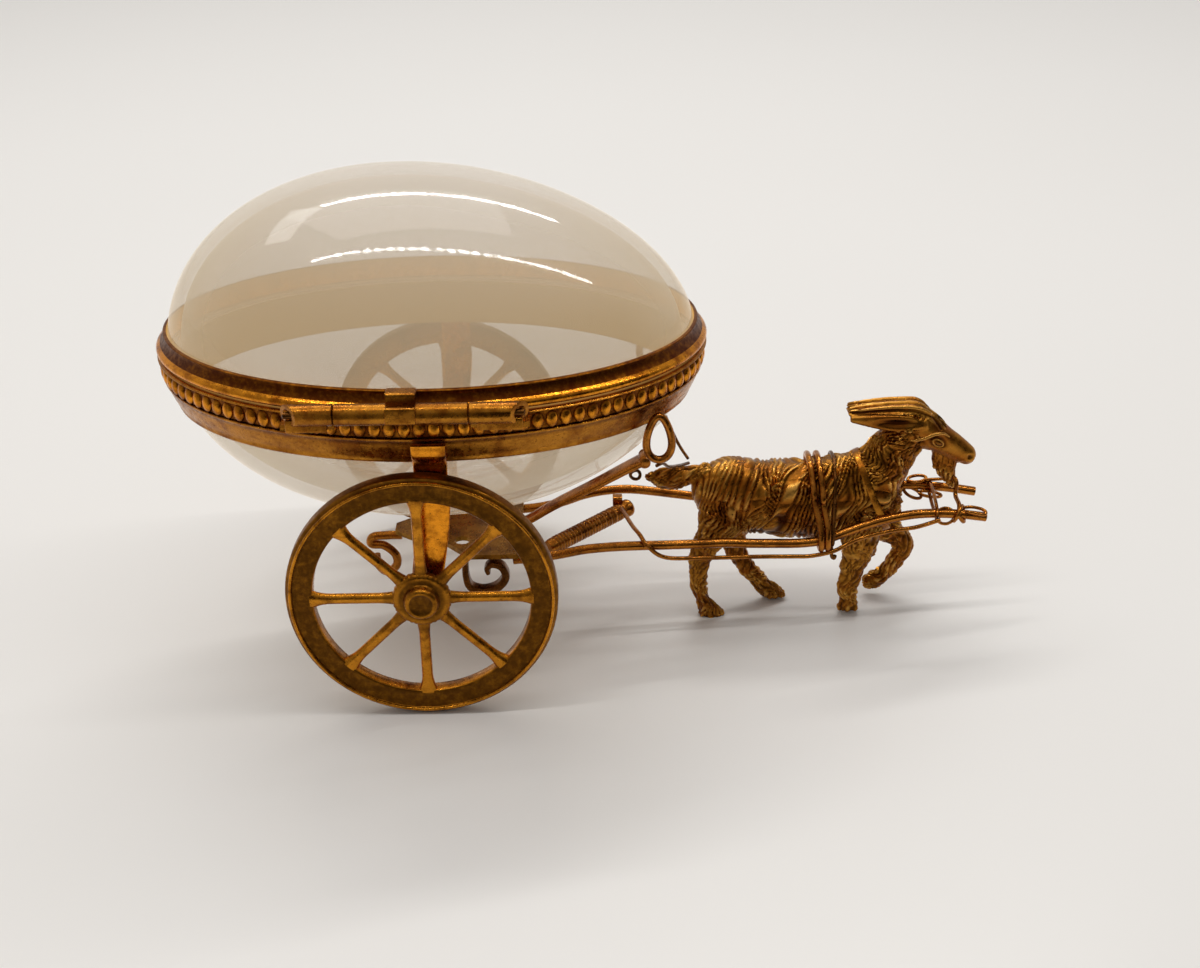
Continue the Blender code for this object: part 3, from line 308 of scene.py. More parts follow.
def gilt(name, gold, brown, dark, stain, polish, scratch=0.25):
    """Worn gilding: brown where it is rubbed or tarnished, dark where its shade attribute says so, with
    painted shade in hollows and between parts and patina on the wheel face, and glowing with painted light
    where its glow attribute says so.
    """
    made, tree, shader, place = begin(name, Metallic=1.0)
    patches = noise(tree, place, size=3.2, detail=6.0, rough=0.62)
    colour = blend(tree, ramp(tree, patches, 0.62 - stain * 0.25, 0.7), gold, brown)
    specks = noise(tree, place, size=0.5, detail=3.0, rough=0.7)
    colour = blend(tree, ramp(tree, specks, 0.6, 0.72, out_high=0.8), colour, dark)
    scuffs = noise(tree, place, size=1.4, detail=5.0, rough=0.6, stretch=(0.5, 1.0, 1.3))
    colour = blend(tree, ramp(tree, scuffs, 0.52, 0.7, out_high=0.5), colour, brown)
    # Painted shade and patina: the shade attribute, broken up a little, darkens the gilding
    patchiness = ramp(tree, noise(tree, place, size=0.9, detail=6.0, rough=0.7), 0.25, 0.6, out_low=0.72)
    grime = combine(tree, "MULTIPLY", attribute(tree, "grime"), patchiness)
    tree.links.new(blend(tree, grime, colour, dark), shader.inputs["Base Color"])
    wear = noise(tree, place, size=0.9, detail=5.0, rough=0.65)
    rough = ramp(tree, wear, 0.35, 0.75, polish, polish + 0.26)
    dull = combine(tree, "ADD", rough, combine(tree, "MULTIPLY", grime, 0.2))
    tree.links.new(dull, shader.inputs["Roughness"])
    bump(tree, shader, noise(tree, place, size=0.5, rough=0.65), scratch, 0.05)
    # Painted glow: emission where the glow attribute says, in place of light spread by the milky glass
    shader.inputs["Emission Color"].default_value = (*PAINTED_GLOW_TINT, 1)
    glow = combine(tree, "MULTIPLY", attribute(tree, "glow"), 0.55)
    tree.links.new(glow, shader.inputs["Emission Strength"])
    return made


def cast_metal():
    """The goat's olive-gold casting, painted dark with shade in the cuts, and rubbed on the high locks,
    where the wear also paints highlights.
    """
    made, tree, shader, place = begin("cast goat", Metallic=1.0)
    olive, brown = (0.42, 0.175, 0.021), (0.28, 0.088, 0.009)
    dark, rubbed_and_highlit = (0.045, 0.009, 0.001), (0.78, 0.42, 0.09)
    body = ramp(tree, noise(tree, place, 6.0, 4.0), 0.4, 0.6)
    colour = blend(tree, body, olive, brown)
    # Painted shade in the cuts, hollows and lower flank
    colour = blend(tree, combine(tree, "MULTIPLY", attribute(tree, "grime"), 0.95), colour, dark)
    # Wear and painted highlight: the high locks, lids and brow are painted lighter
    colour = blend(tree, attribute(tree, "worn"), colour, rubbed_and_highlit)
    tree.links.new(colour, shader.inputs["Base Color"])
    rough = ramp(tree, noise(tree, place, 0.8, 4.0), 0.3, 0.7, 0.24, 0.42)
    tree.links.new(rough, shader.inputs["Roughness"])
    bump(tree, shader, noise(tree, place, 0.35, 5.0, 0.7), 0.35, 0.06)
    return made


def milk_glass():
    """Milky glass that lets the far side show through and is denser edge on. It is painted warmer by the
    gilt mounts in place of their scattered light, and glows faintly with painted light in place of light
    carried through the milky wall.
    """
    # The emission is a painted glow in place of light carried through the milky wall
    made, tree, shader, place = begin("milk glass", IOR=1.65, Specular_IOR_Level=1.0,
                                      Emission_Color=(0.7, 0.56, 0.38, 1), Emission_Strength=0.26)
    cloud = ramp(tree, noise(tree, place, 26.0, 3.0), 0.3, 0.7)
    colour = blend(tree, cloud, (0.52, 0.49, 0.455), (0.475, 0.445, 0.4))
    # Painted light: warmer near the rims, in place of light from the gilt mounts
    colour = blend(tree, attribute(tree, "rim"), colour, (0.5, 0.385, 0.22))
    specks = ramp(tree, noise(tree, place, 0.7, 2.0, 0.6), 0.74, 0.8, 0.0, 0.25)
    tree.links.new(blend(tree, specks, colour, (0.62, 0.6, 0.57)), shader.inputs["Base Color"])
    tree.links.new(ramp(tree, attribute(tree, "inner"), 0.0, 1.0, 0.07, 0.5), shader.inputs["Roughness"])
    edge = tree.nodes.new("ShaderNodeLayerWeight")
    edge.inputs["Blend"].default_value = 0.4
    tree.links.new(ramp(tree, edge.outputs["Facing"], 0.1, 0.95, 0.33, 0.62), shader.inputs["Alpha"])
    ripple = combine(tree, "MULTIPLY", noise(tree, place, 9.0, 2.0), 0.6)
    grain = combine(tree, "MULTIPLY", noise(tree, place, 0.8, 2.0), 0.3)
    bump(tree, shader, combine(tree, "ADD", ripple, grain), 0.25, 0.1)
    return made


GOLD = (0.76, 0.285, 0.019)
COPPER = (0.31, 0.088, 0.006)
# Dark colours of the specks and of the painted shade in hollows and between parts; the olive one is also the
# wheel face's patina
SOOT_AND_SHADE = (0.03, 0.009, 0.002)
OLIVE_PATINA_AND_SHADE = (0.105, 0.04, 0.005)
RUST_AND_SHADE = (0.06, 0.009, 0.002)
# Colour of the painted glow on the mounts' inner side
PAINTED_GLOW_TINT = (0.66, 0.4, 0.1)
MOUNT_GILT = gilt("mount gilding", GOLD, COPPER, RUST_AND_SHADE, 0.8, 0.15)
BAND_GILT = gilt("scuffed band gilding", (0.46, 0.185, 0.019), (0.21, 0.062, 0.006), RUST_AND_SHADE, 1.0, 0.2, 0.4)
WHEEL_GILT = gilt("wheel gilding", (0.62, 0.245, 0.019), (0.22, 0.076, 0.007), OLIVE_PATINA_AND_SHADE, 0.8, 0.17)
WIRE_GILT = gilt("wire gilding", (0.44, 0.16, 0.022), (0.18, 0.055, 0.008), SOOT_AND_SHADE, 0.8, 0.13, 0.12)
DARK_WIRE = gilt("tarnished wire", (0.16, 0.06, 0.012), (0.07, 0.025, 0.006), SOOT_AND_SHADE, 0.8, 0.22)
FRAME_GILT = gilt("underframe gilding", (0.86, 0.31, 0.018), (0.2, 0.05, 0.005), SOOT_AND_SHADE, 0.85, 0.15)
PLATE_GILT = gilt("frame plate gilding", (0.32, 0.15, 0.02), (0.13, 0.05, 0.006), SOOT_AND_SHADE, 0.9, 0.24)
BRONZE = cast_metal()
MILK = milk_glass()


def closed_mesh(name, points, faces):
    """A mesh whose faces all look outwards."""
    mesh = bpy.data.meshes.new(name)
    mesh.from_pydata(points.tolist(), [], faces)
    sketch = bmesh.new()
    sketch.from_mesh(mesh)
    bmesh.ops.recalc_face_normals(sketch, faces=sketch.faces)
    sketch.to_mesh(mesh)
    sketch.free()
    return mesh


def in_scene(name, data):
    made = bpy.data.objects.new(name, data)
    bpy.context.scene.collection.objects.link(made)
    return made


def piece(name, shape, kind, body, stands_for=(), slot="gilt_brass", sharp=40, **attributes):
    """A closed mesh in the frame. It rides on a body, and stands for the CAD nodes that it names."""
    points, faces = shape
    mesh = closed_mesh(name, np.asarray(points) * MM + ORIGIN, faces)
    mesh.shade_smooth()
    mesh.set_sharp_from_angle(angle=math.radians(sharp))
    for label, values in attributes.items():
        data = mesh.attributes.new(label, "FLOAT", "POINT").data
        data.foreach_set("value", np.asarray(values, np.float32))
    mesh.materials.append(kind)
    made = in_scene(name, mesh)
    if stands_for:
        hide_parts(*stands_for)
    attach(made, body)


def on_carriage(node, shape, kind, **attributes):
    """The piece of the carriage that stands for one CAD node."""
    piece(node + "_fine", shape, kind, "carriage", [node], **attributes)


# The egg

TAPER_ROUNDS = 12
SHELL_LEVELS = np.radians(np.linspace(0, 88.5, 46))


def egg_ring(height, out=0.0, angles=None):
    """Points round the egg at a height from the seam, moved out level from the glass by a distance."""
    angles = full_turn(AROUND) if angles is None else np.asarray(angles)
    rise, taper = (LID_RISE, LID_TAPER) if height > 0 else (BOWL_DEPTH, BOWL_TAPER)
    reach = np.ones_like(angles)
    for _ in range(TAPER_ROUNDS):
        share = height / rise / (1 - taper * reach * np.cos(angles))
        reach = np.sqrt(np.maximum(1 - share**2, 0))
    x = EGG_HALF_LENGTH * reach * np.cos(angles)
    y = EGG_HALF_WIDTH * reach * np.sin(angles)
    away = unit(np.stack([x / EGG_HALF_LENGTH**2, y / EGG_HALF_WIDTH**2], 1)) * out
    return np.stack([x + away[:, 0], y + away[:, 1], np.full_like(x, SEAM + height)], 1)


def shell(rise, taper, up):
    """(shape, nearness to the rim, which paints warm light from the mounts, 1 on the inner side) of half the
    hollow egg. Its rim is flat.
    """
    angle = full_turn(AROUND)
    flat, high = np.cos(SHELL_LEVELS)[:, None], np.sin(SHELL_LEVELS)[:, None]
    reach = flat * np.cos(angle)
    sheets = []
    for inset in (0.0, GLASS_WALL):
        sheets.append(np.stack([
            (EGG_HALF_LENGTH - inset) * reach,
            (EGG_HALF_WIDTH - inset) * flat * np.sin(angle),
            SEAM + up * (SEAM_GAP / 2 + (rise - inset) * high * (1 - taper * reach)),
        ], -1))
    # Nearness to the rim, which tints the glass with painted warm light from the mounts
    near_rim = 1 - np.sin(SHELL_LEVELS)**1.5
    rim = np.repeat(np.concatenate([near_rim[::-1], near_rim]), AROUND)
    inner = np.repeat([0.0, 1.0], len(SHELL_LEVELS) * AROUND)
    return skin(np.vstack([sheets[0][::-1], sheets[1]])), rim, inner


def mount(profile):
    """A ring round the egg from a closed profile of (height from the seam, distance from the glass)."""
    return skin([egg_ring(height, out) for height, out in profile], closed=True)


def painted_glow_behind_glass(profile):
    """Marks the mount's inner side for a painted glow, which stands in for the light that the milky wall
    spreads.
    """
    return np.repeat([1.0 if out < MOUNT_FIT + 0.01 else 0.0 for _, out in profile], AROUND)


def profile_grime(profile, shading):
    """One value of painted shade for each point of a mount, from the height along its profile."""
    return np.repeat([shading(height, out) for height, out in profile], AROUND)


def make_egg():
    for half, body, form in (("lid", "lid", (LID_RISE, LID_TAPER, 1)),
                             ("bowl", "carriage", (BOWL_DEPTH, BOWL_TAPER, -1))):
        shape, rim, inner = shell(*form)
        node = half + "_glass"
        piece(node + "_fine", shape, MILK, body, [node], "milk_glass", rim=rim, inner=inner)


LIP = SEAM_GAP / 2
LID_MOUNT_TOP = 3.6
LID_BULGE_FOOT = LIP + 0.05
LID_BULGE_TOP = 1.75
LID_HOLLOW_TOP = 3.26
MOULDING_HEIGHT = 0.6
MOULDING_FOOT = -LIP - MOULDING_HEIGHT
BEAD_FOOT = MOULDING_FOOT - 2.9
SEAT_OUT = 0.75
BAND_EDGE = BEAD_FOOT - 0.45
OFF_THE_GLASS = MOUNT_FIT + 0.04


def lid_mount_grime(height, _):
    """Painted shade: dark in the hollow above the bulge, dull and darker on the top edge and along the seam.
    """
    if height <= LID_BULGE_TOP:
        return 0.35 if height < 0.3 else 0.0
    return 0.95 if height < LID_HOLLOW_TOP else 0.85


def bowl_mount_grime(height, out):
    """Painted shade: dark behind the beads, with a thin dark line under them."""
    if out < 0.8:
        return 1.0
    return 0.5 if BAND_EDGE - 0.25 < height < BAND_EDGE else 0.0


def lid_mount_profile():
    """Convex beside the seam and hollow above, with a fine edge on top."""
    profile = [(LIP, MOUNT_FIT), (LIP, 1.15)]
    for t in np.linspace(0, 1, 9):
        height = LID_BULGE_FOOT + (LID_BULGE_TOP - LID_BULGE_FOOT) * t
        profile.append((height, 1.2 + 0.58 * math.sin(math.pi * t)**0.7))
    for t in np.linspace(0, 1, 8):
        profile.append((LID_BULGE_TOP + 0.05 + 1.45 * t, 0.55 + 0.6 * (1 - t)**2.2))
    top = LID_MOUNT_TOP
    return profile + [(3.28, 0.68), (3.42, 0.76), (3.55, 0.68), (top, 0.5), (top, OFF_THE_GLASS),
                      (top, MOUNT_FIT)]


def bowl_mount_profile():
    """A thin moulding, the seat of the beads, and the band that leans in to its foot."""
    profile = [(-LIP, MOUNT_FIT), (-LIP, 1.3)]
    for t in np.linspace(0.08, 0.92, 6):
        profile.append((-LIP - MOULDING_HEIGHT * t, 1.35 + 0.4 * math.sin(math.pi * t)))
    profile += [(MOULDING_FOOT, 1.3), (MOULDING_FOOT, SEAT_OUT), (BEAD_FOOT, SEAT_OUT), (BEAD_FOOT, 1.32),
                (BEAD_FOOT - 0.1, 1.46), (BEAD_FOOT - 0.3, 1.5), (BAND_EDGE, 1.42)]
    low = BAND_BOTTOM
    for t in np.linspace(0, 1, 6):
        profile.append((BEAD_FOOT - 0.55 + (low + 0.5 - BEAD_FOOT + 0.55) * t, 1.34 - 0.36 * t))
    return profile + [(low + 0.35, 1.06), (low + 0.12, 1.06), (low, 0.96), (low, OFF_THE_GLASS),
                      (low, MOUNT_FIT), (0.6 * low, MOUNT_FIT), (0.3 * low, MOUNT_FIT)]


def make_mounts():
    for half, body, kind, profile, shading in (
            ("lid", "lid", MOUNT_GILT, lid_mount_profile(), lid_mount_grime),
            ("bowl", "carriage", BAND_GILT, bowl_mount_profile(), bowl_mount_grime)):
        node = half + "_mount"
        # Each mount gets painted shade from its profile and a painted glow on its inner side
        piece(node + "_fine", mount(profile), kind, body, [node],
              grime=profile_grime(profile, shading), glow=painted_glow_behind_glass(profile))


# The beads stand in one row, taller than they are wide
BEAD_COUNT = 104
BEAD_HALF_WIDTH, BEAD_HALF_DEPTH, BEAD_HALF_HEIGHT = 0.98, 0.65, 1.36
BEAD_OUT = 1.03
BEAD_CREST = 1.62


def even_angles(count, out):
    """Angles that divide the egg's girth into equal lengths."""
    fine = np.linspace(0, 2 * math.pi, 2881)
    trail = egg_ring(0, out, fine)
    lengths = np.concatenate([[0], np.cumsum(np.linalg.norm(np.diff(trail, axis=0), axis=1))])
    return np.interp(lengths[-1] * np.arange(count) / count, lengths, fine)


def make_beads():
    """The beads, with a soldered strip behind them. They are painted dark with shade everywhere but on their
    crowns.
    """
    level = (MOULDING_FOOT + BEAD_FOOT) / 2
    centres = egg_ring(level, BEAD_OUT, even_angles(BEAD_COUNT, 1.0))
    along = unit(np.roll(centres, -1, 0) - np.roll(centres, 1, 0))
    shapes = []
    for centre, ahead in zip(centres, along):
        outward = np.cross(ahead, UPRIGHT)
        axes = (ahead * BEAD_HALF_WIDTH, outward * BEAD_HALF_DEPTH, UPRIGHT * BEAD_HALF_HEIGHT)
        shapes.append(ellipsoid(centre, axes, 14, 9))
    high, low = MOULDING_FOOT - 0.15, BEAD_FOOT + 0.15
    shapes.append(mount([(high, 0.9), (high, 1.12), (low, 1.12), (low, 0.9)]))
    points, faces = merged(shapes)
    centre_line = egg_ring(level, BEAD_CREST)
    nearest = np.array([np.min(np.linalg.norm(centre_line[:, :2] - p[:2], axis=1)) for p in points])
    # Painted shade on the beads' sides and the strip between them
    crown = np.maximum(nearest / 0.75, np.abs(points[:, 2] - SEAM - level) / 1.25)
    piece("beads", (points, faces), MOUNT_GILT, "carriage", ["beaded_band"],
          grime=np.clip((crown - 0.5) * 1.7, 0, 1))


# The hinge

BARREL_RADIUS = 1.55
PIN_HOLE = 0.9
PIN_HOLE_DEPTH = 0.9
BARREL_CHAMFER = 0.12
KNUCKLE_CLOSING = 0.09
CUT_LENGTH = 4.5
CUT_SLANT = 2.6
LEAF_THICK = 0.8
LEAF_SWELL = 1.75


def barrel(start, end):
    """A knuckle with finely chamfered ends and the pin's hole in its end faces."""
    radius, chamfer = BARREL_RADIUS, BARREL_CHAMFER
    profile = [(PIN_HOLE, PIN_HOLE_DEPTH), (PIN_HOLE, 0.0), (radius - chamfer, 0.0), (radius, chamfer)]
    profile += [(radius, end - start - along) for radius, along in profile[::-1]]
    return turned([(r, start + a) for r, a in profile], 48, (0, HINGE[1], HINGE[2]), 0)


def cut_obliquely(shape, end, inward):
    """Slants the barrel's outer end so that it faces partly outwards."""
    points, faces = shape
    near_end = np.clip(1 - np.abs(points[:, 0] - end) / CUT_LENGTH, 0, 1)
    front = np.clip((HINGE[1] + BARREL_RADIUS - points[:, 1]) / (2 * BARREL_RADIUS), 0, 1)
    points[:, 0] += inward * CUT_SLANT * front * near_end
    return points, faces


def mount_edge(x, swell):
    """Where the mount's outline runs on the near side, that far outside the glass."""
    share = min(abs(x) / (EGG_HALF_LENGTH + swell), 0.95)
    return -(EGG_HALF_WIDTH + swell) * math.sqrt(1 - share**2)


def leaf(start, end, low, high, swell):
    """The flat plate that joins a knuckle to its mount."""
    along = np.linspace(start, end, 9)
    outline = [(x, HINGE[1] + 0.3 * BARREL_RADIUS) for x in along]
    outline += [(x, mount_edge(x, swell) - 0.05) for x in along[::-1]]
    return skin([[(x, y, z) for x, y in outline] for z in (low, high)])


def make_hinge():
    top = SEAM - LIP - 0.07
    foot = top - LEAF_THICK
    for node, outer, inward in (("hinge_knuckle_rear", 0, 1), ("hinge_knuckle_front", 1, -1)):
        ends = [corner[0] for corner in span(node)]
        low, high = ends
        outer_end = ends[outer]
        ends[1 - outer] += inward * KNUCKLE_CLOSING
        tubing = cut_obliquely(barrel(*ends), outer_end, inward)
        web = block(((low + high) / 2, HINGE[1] - 0.02, (foot + HINGE[2]) / 2 - 0.3),
                    ((high - low) / 2 - 0.9, 0.42 * BARREL_RADIUS, (HINGE[2] - foot) / 2 - 0.3))
        piece(node.replace("_knuckle", ""), merged([tubing, leaf(low, high, foot, top, LEAF_SWELL), web]),
              BAND_GILT, "carriage", [node])
    low, high = span("lid_knuckle")
    centre = (low[0] + high[0]) / 2
    lug = block((centre, HINGE[1] + 0.7 * BARREL_RADIUS, high[2] - 1.25), (2.1, 1.25, 1.25))
    seat = block((centre, HINGE[1] - 0.35, HINGE[2] + 0.3), (2.15, 1.4, 1.25), 10)
    foot = SEAM + LIP + 0.15
    plate = leaf(low[0] + 1, high[0] - 1, foot, foot + LEAF_THICK, LEAF_SWELL - 0.05)
    tubing = barrel(low[0] - KNUCKLE_CLOSING, high[0] + KNUCKLE_CLOSING)
    piece("hinge_lid", merged([tubing, lug, seat, plate]), BAND_GILT, "lid", ["lid_knuckle"])
    low, high = span("hinge_pin")
    dome = [(0.05, 0), (0.32, 0.06), (0.48, 0.2)]
    profile = [(r, low[0] + a) for r, a in dome] + [(r, high[0] - a) for r, a in dome[::-1]]
    on_carriage("hinge_pin", turned(profile, 20, (0, HINGE[1], HINGE[2]), 0), DARK_WIRE)


# The wheels

WHEEL_CENTRE = np.array([AXLE_FROM_EGG, 0, AXLE_Z])
WHEEL_BACK = 28.6
SPOKES = 8
SPOKE_STATIONS = np.linspace(3.3, 16.4, 26)
RIM_BEAD = np.array([19.25, 1.84])
RIM_BEAD_RADIUS = 0.25
HUB_NOTCHES = 36
# Radius and depth from the wheel's back: the rim up to its bead, its face inside the bead, and the hub
RIM_OUTSIDE = [(16.15, -0.6), (19.8, -0.6), (20.0, -0.4), (20.0, 1.15), (19.9, 1.42), (19.72, 1.6),
               (19.53, 1.68)]
RIM_FACE = [(18.9, 1.62), (18.3, 1.58), (17.4, 1.58), (16.8, 1.63), (16.45, 1.68), (16.2, 1.62),
            (16.05, 1.45), (16.0, 1.15), (16.0, -0.4)]
HUB = [(0.05, 0), (2.6, 0), (2.65, 0.9), (3.6, 1.05), (4.2, 1.25), (4.4, 1.7), (4.38, 2.2), (4.2, 2.5),
       (3.9, 2.66), (3.6, 2.7), (3.2, 2.66), (2.75, 2.72), (2.6, 2.9), (2.52, 3.5), (2.4, 3.85),
       (2.15, 4.05), (1.85, 4.08), (1.66, 3.98), (1.5, 3.86), (0.8, 3.82), (0.05, 3.8)]


def make_rim(side):
    """(shape, darkening) of the rim, its face dished and a bead near its edge. The face is dark with patina,
    and the outer bevel is darkened too.
    """
    bead = [tuple(RIM_BEAD + RIM_BEAD_RADIUS * np.array([math.cos(turn), math.sin(turn)]))
            for turn in np.radians(np.arange(-10, 191, 25))]
    profile = [(r, WHEEL_BACK + d) for r, d in RIM_OUTSIDE + bead + RIM_FACE]
    points, faces = turned(profile, 128, WHEEL_CENTRE, 1, side, closed=True)
    radius = np.hypot(points[:, 0] - WHEEL_CENTRE[0], points[:, 2] - WHEEL_CENTRE[2])
    depth = side * points[:, 1] - WHEEL_BACK
    face = (radius < 18.98) & (radius > 16.1) & (depth > 1.3)
    bevel = (radius > 19.48) & (depth < 1.75)
    return (points, faces), np.where(face, 0.97, np.where(bevel, 0.75, 0.0))


def make_hub(side):
    """(shape, darkening) of the hub: a flange with a notched edge, and a low boss with a sunk middle. The
    sunk middle and the ring where the boss meets the flange are painted dark with shade, and the rest half
    as dark.
    """
    profile = [(r, WHEEL_BACK - 0.7 + d) for r, d in HUB]
    points, faces = turned(profile, 4 * HUB_NOTCHES, WHEEL_CENTRE, 1, side)
    away = points - WHEEL_CENTRE
    radius = np.hypot(away[:, 0], away[:, 2])
    wave = 0.06 + 0.06 * np.cos(HUB_NOTCHES * np.arctan2(away[:, 2], away[:, 0]))
    notch = np.where(radius > 4.1, wave, 0.0)
    away[:, [0, 2]] *= (1 - notch / radius)[:, None]
    # Painted shade in the sunk middle and the ring at the boss's foot
    grime = np.where(radius < 1.7, 1.0, np.where(np.abs(radius - 2.95) < 0.35, 0.9, 0.45))
    return (away + WHEEL_CENTRE, faces), grime


def make_spoke(angle, side):
    """(shape, darkening) of a spoke that flares into the rim and swells at the hub. It is darker near the
    hub.
    """
    out = np.array([math.cos(angle), 0, math.sin(angle)])
    flare = np.clip((SPOKE_STATIONS - 13.2) / 3.2, 0, 1)**2.2
    waist = np.clip((6.5 - SPOKE_STATIONS) / 3.0, 0, 1)**2
    section = soft_box(0.82 + 0.8 * flare + 0.4 * waist, 0.68 + 0.18 * flare + 0.22 * waist, 16, 2.0)
    route = np.outer(SPOKE_STATIONS, out) + WHEEL_CENTRE + side * (WHEEL_BACK + 0.95) * SIDEWAYS
    return sweep(route, section, side=np.cross(SIDEWAYS, out)), np.repeat(0.5 * (waist > 0.1), 16)


def make_wheel(node, side):
    made = [make_rim(side), make_hub(side)]
    made += [make_spoke(2 * math.pi * spoke / SPOKES, side) for spoke in range(SPOKES)]
    piece(node + "_fine", merged([shape for shape, _ in made]), WHEEL_GILT, node, [node],
          grime=np.concatenate([grime for _, grime in made]))


# The underframe

STRAP_FROM_END = 2.7
STRAP_INSIDE = 27.2
STRAP_EYE = [(1.12, -0.4), (2.2, -0.4), (2.3, -0.3), (2.3, 0.3), (2.2, 0.4), (1.12, 0.4)]
# (X, Z) routes from the plate's underside, the hook's from its rear end and the scroll's from its own start
HOOK_ROUTE = [(0.9, -0.9), (-1.4, -0.9), (-3.9, -1.2), (-4.2, -2.5), (-2.2, -2.8), (-0.4, -4.6),
              (-0.4, -6.6), (-2.0, -7.8), (-3.4, -6.4), (-3.4, -4.4)]
SCROLL_ROUTE = [(0, -0.6), (0, -3.4), (0.6, -5.4), (2.6, -6.2), (4.9, -5.6), (6.3, -3.8), (5.8, -1.9),
                (4.3, -1.3), (3.4, -2.0), (3.6, -2.9)]
# How far along and how far up the front arm has gone
ARM_SHARES = [(0, 0), (0.12, 0.0), (0.35, 0.28), (0.6, 0.55), (0.82, 0.8), (1, 1)]
# Half of the arm's rolled knob: radius, distance from its middle
KNOB_HALF = [(0.05, -1.95), (0.55, -1.93), (0.9, -1.75), (0.95, -1.5), (0.72, -1.3), (0.72, -1.05),
             (0.95, -0.85), (1.0, 0)]
TAIL_RING_RADIUS = 0.78


def make_strap(node, side):
    """A flat strap that hangs from the band, with an eye round the axle."""
    x = span(node)[1][0] - STRAP_FROM_END
    inner = STRAP_INSIDE
    top = SEAM + BEAD_FOOT - 0.3
    knee = SEAM + BAND_BOTTOM - 0.2
    out = EGG_HALF_WIDTH + 2.05
    stations = [(x, out, top - 0.25), (x, out - 0.12, top - 1.8), (x, inner + 0.35, knee + 0.8),
                (x, inner, knee - 1.2), (x, inner, AXLE_Z + 12), (AXLE_FROM_EGG + 0.5, inner, AXLE_Z + 0.5)]
    route = smooth(np.array(stations) * (1, side, 1), 6)
    half_width = np.interp(route[:, 2], [AXLE_Z, AXLE_Z + 3, top], [2.0, 2.35, 2.45])
    strap = sweep(route, soft_box(half_width, 0.45, 20, 7), side=np.array([1.0, 0, 0]))
    eye = turned([(r, inner + d) for r, d in STRAP_EYE], 40, WHEEL_CENTRE, 1, side, closed=True)
    on_carriage(node, merged([strap, eye]), FRAME_GILT)


def make_axle():
    end = span("axle")[1][1]
    half = [(0.05, end), (0.75, end - 0.02), (0.9, end - 0.15), (0.9, 9), (1.05, 8.8)]
    profile = [(radius, -along) for radius, along in half] + half[::-1]
    on_carriage("axle", turned(profile, 28, WHEEL_CENTRE, 1), FRAME_GILT)


def make_underframe():
    for node, side in (("strap_near", -1), ("strap_far", 1)):
        make_strap(node, side)
    make_axle()
    for node in ("axle_block", "frame_plate"):
        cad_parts[node].data.materials.clear()
        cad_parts[node].data.materials.append(PLATE_GILT)
    route = smooth([(PLATE_LOW[0] + x, 0, PLATE_LOW[2] + z + 0.1) for x, z in HOOK_ROUTE], 8)
    radius = np.interp(np.arange(len(route)), [0, len(route) - 8, len(route) - 1], [0.72, 0.7, 0.5])
    on_carriage("rear_hook", tube(route, radius), WIRE_GILT)
    for node in ("scroll_near", "scroll_far"):
        low, high = span(node)
        start, across = low[0] + 0.42, (low[1] + high[1]) / 2
        route = smooth([(start + x, across, PLATE_LOW[2] + z) for x, z in SCROLL_ROUTE], 6)
        thick = np.interp(np.arange(len(route)), [0, len(route) / 2, len(route) - 1], [0.5, 0.7, 0.35])
        on_carriage(node, sweep(route, soft_box(1.1, thick, 16, 4), side=SIDEWAYS), DARK_WIRE)
    make_arm()


def make_arm():
    """The support under the egg's front, a tapered strip with a rolled knob, and the ring by the tail."""
    low, high = span("front_arm")
    knob = (high[0] - 0.95, 0.0, high[2] - 0.95)
    start = (low[0], 0.0, low[2] + 0.4)
    route = smooth([(start[0] + (knob[0] - start[0]) * ahead, 0, start[2] + (knob[2] - start[2]) * rise)
                    for ahead, rise in ARM_SHARES], 5)
    share = np.linspace(0, 1, len(route))
    arm = sweep(route, soft_box(1.28 + 0.56 * share, 0.38 + 0.22 * share, 20, 3.5), side=SIDEWAYS)
    roll = KNOB_HALF + [(radius, -along) for radius, along in KNOB_HALF[-2::-1]]
    on_carriage("front_arm", merged([arm, turned(roll, 28, knob, 1)]), WIRE_GILT)
    angle = full_turn(28)
    loop = middle("tail_shackle") + np.stack([TAIL_RING_RADIUS * np.cos(angle), 0.12 * np.sin(2 * angle),
                                              TAIL_RING_RADIUS * np.sin(angle)], 1)
    on_carriage("tail_shackle", tube(loop, THIN_WIRE, 10, closed=True), DARK_WIRE)


# Shafts, crossbar and trace

THIN_WIRE = 0.27
TRACE_RADIUS = 0.35
SHAFT_RADIUS = 0.75
SHAFT_ROOT = 11.4
SHAFT_REACH = 75.8
SHAFT_SPREAD = 8.4
SHAFT_STATIONS = np.array([
    # share of the reach, further out, higher
    (0.0, 0.0, -0.95), (0.025, 0.0, -0.95), (0.098, 0.3, 0.1), (0.154, 0.9, 1.3), (0.212, 1.3, 1.9),
    (0.259, 1.2, 1.95), (0.326, 0.5, 1.6), (0.388, -0.3, 1.25), (0.45, -0.8, 1.1), (0.522, -0.9, 0.8),
    (0.606, -1.0, 0.7), (0.658, -1.2, 1.1), (0.72, -1.9, 2.7), (0.782, -2.8, 3.8), (0.855, -3.4, 4.4),
    (0.927, -3.8, 4.2), (1.0, -4.0, 3.3),
])
BAR_RADIUS = 1.35
BAR_SIDES = 28
BAR_RIBS = 30
BAR_STATIONS = np.concatenate([np.linspace(0, 0.05, 4), np.linspace(0.06, 0.86, 110),
                               np.linspace(0.87, 1.0, 16)])
# Share of the bar's length, share of its radius
BAR_OUTLINE = np.array([
    (0, 0.75), (0.02, 0.95), (0.06, 1.0), (0.86, 1.0), (0.885, 0.82), (0.9, 0.82), (0.93, 1.1), (0.965, 1.1),
    (0.985, 0.95), (1.0, 0.45),
])
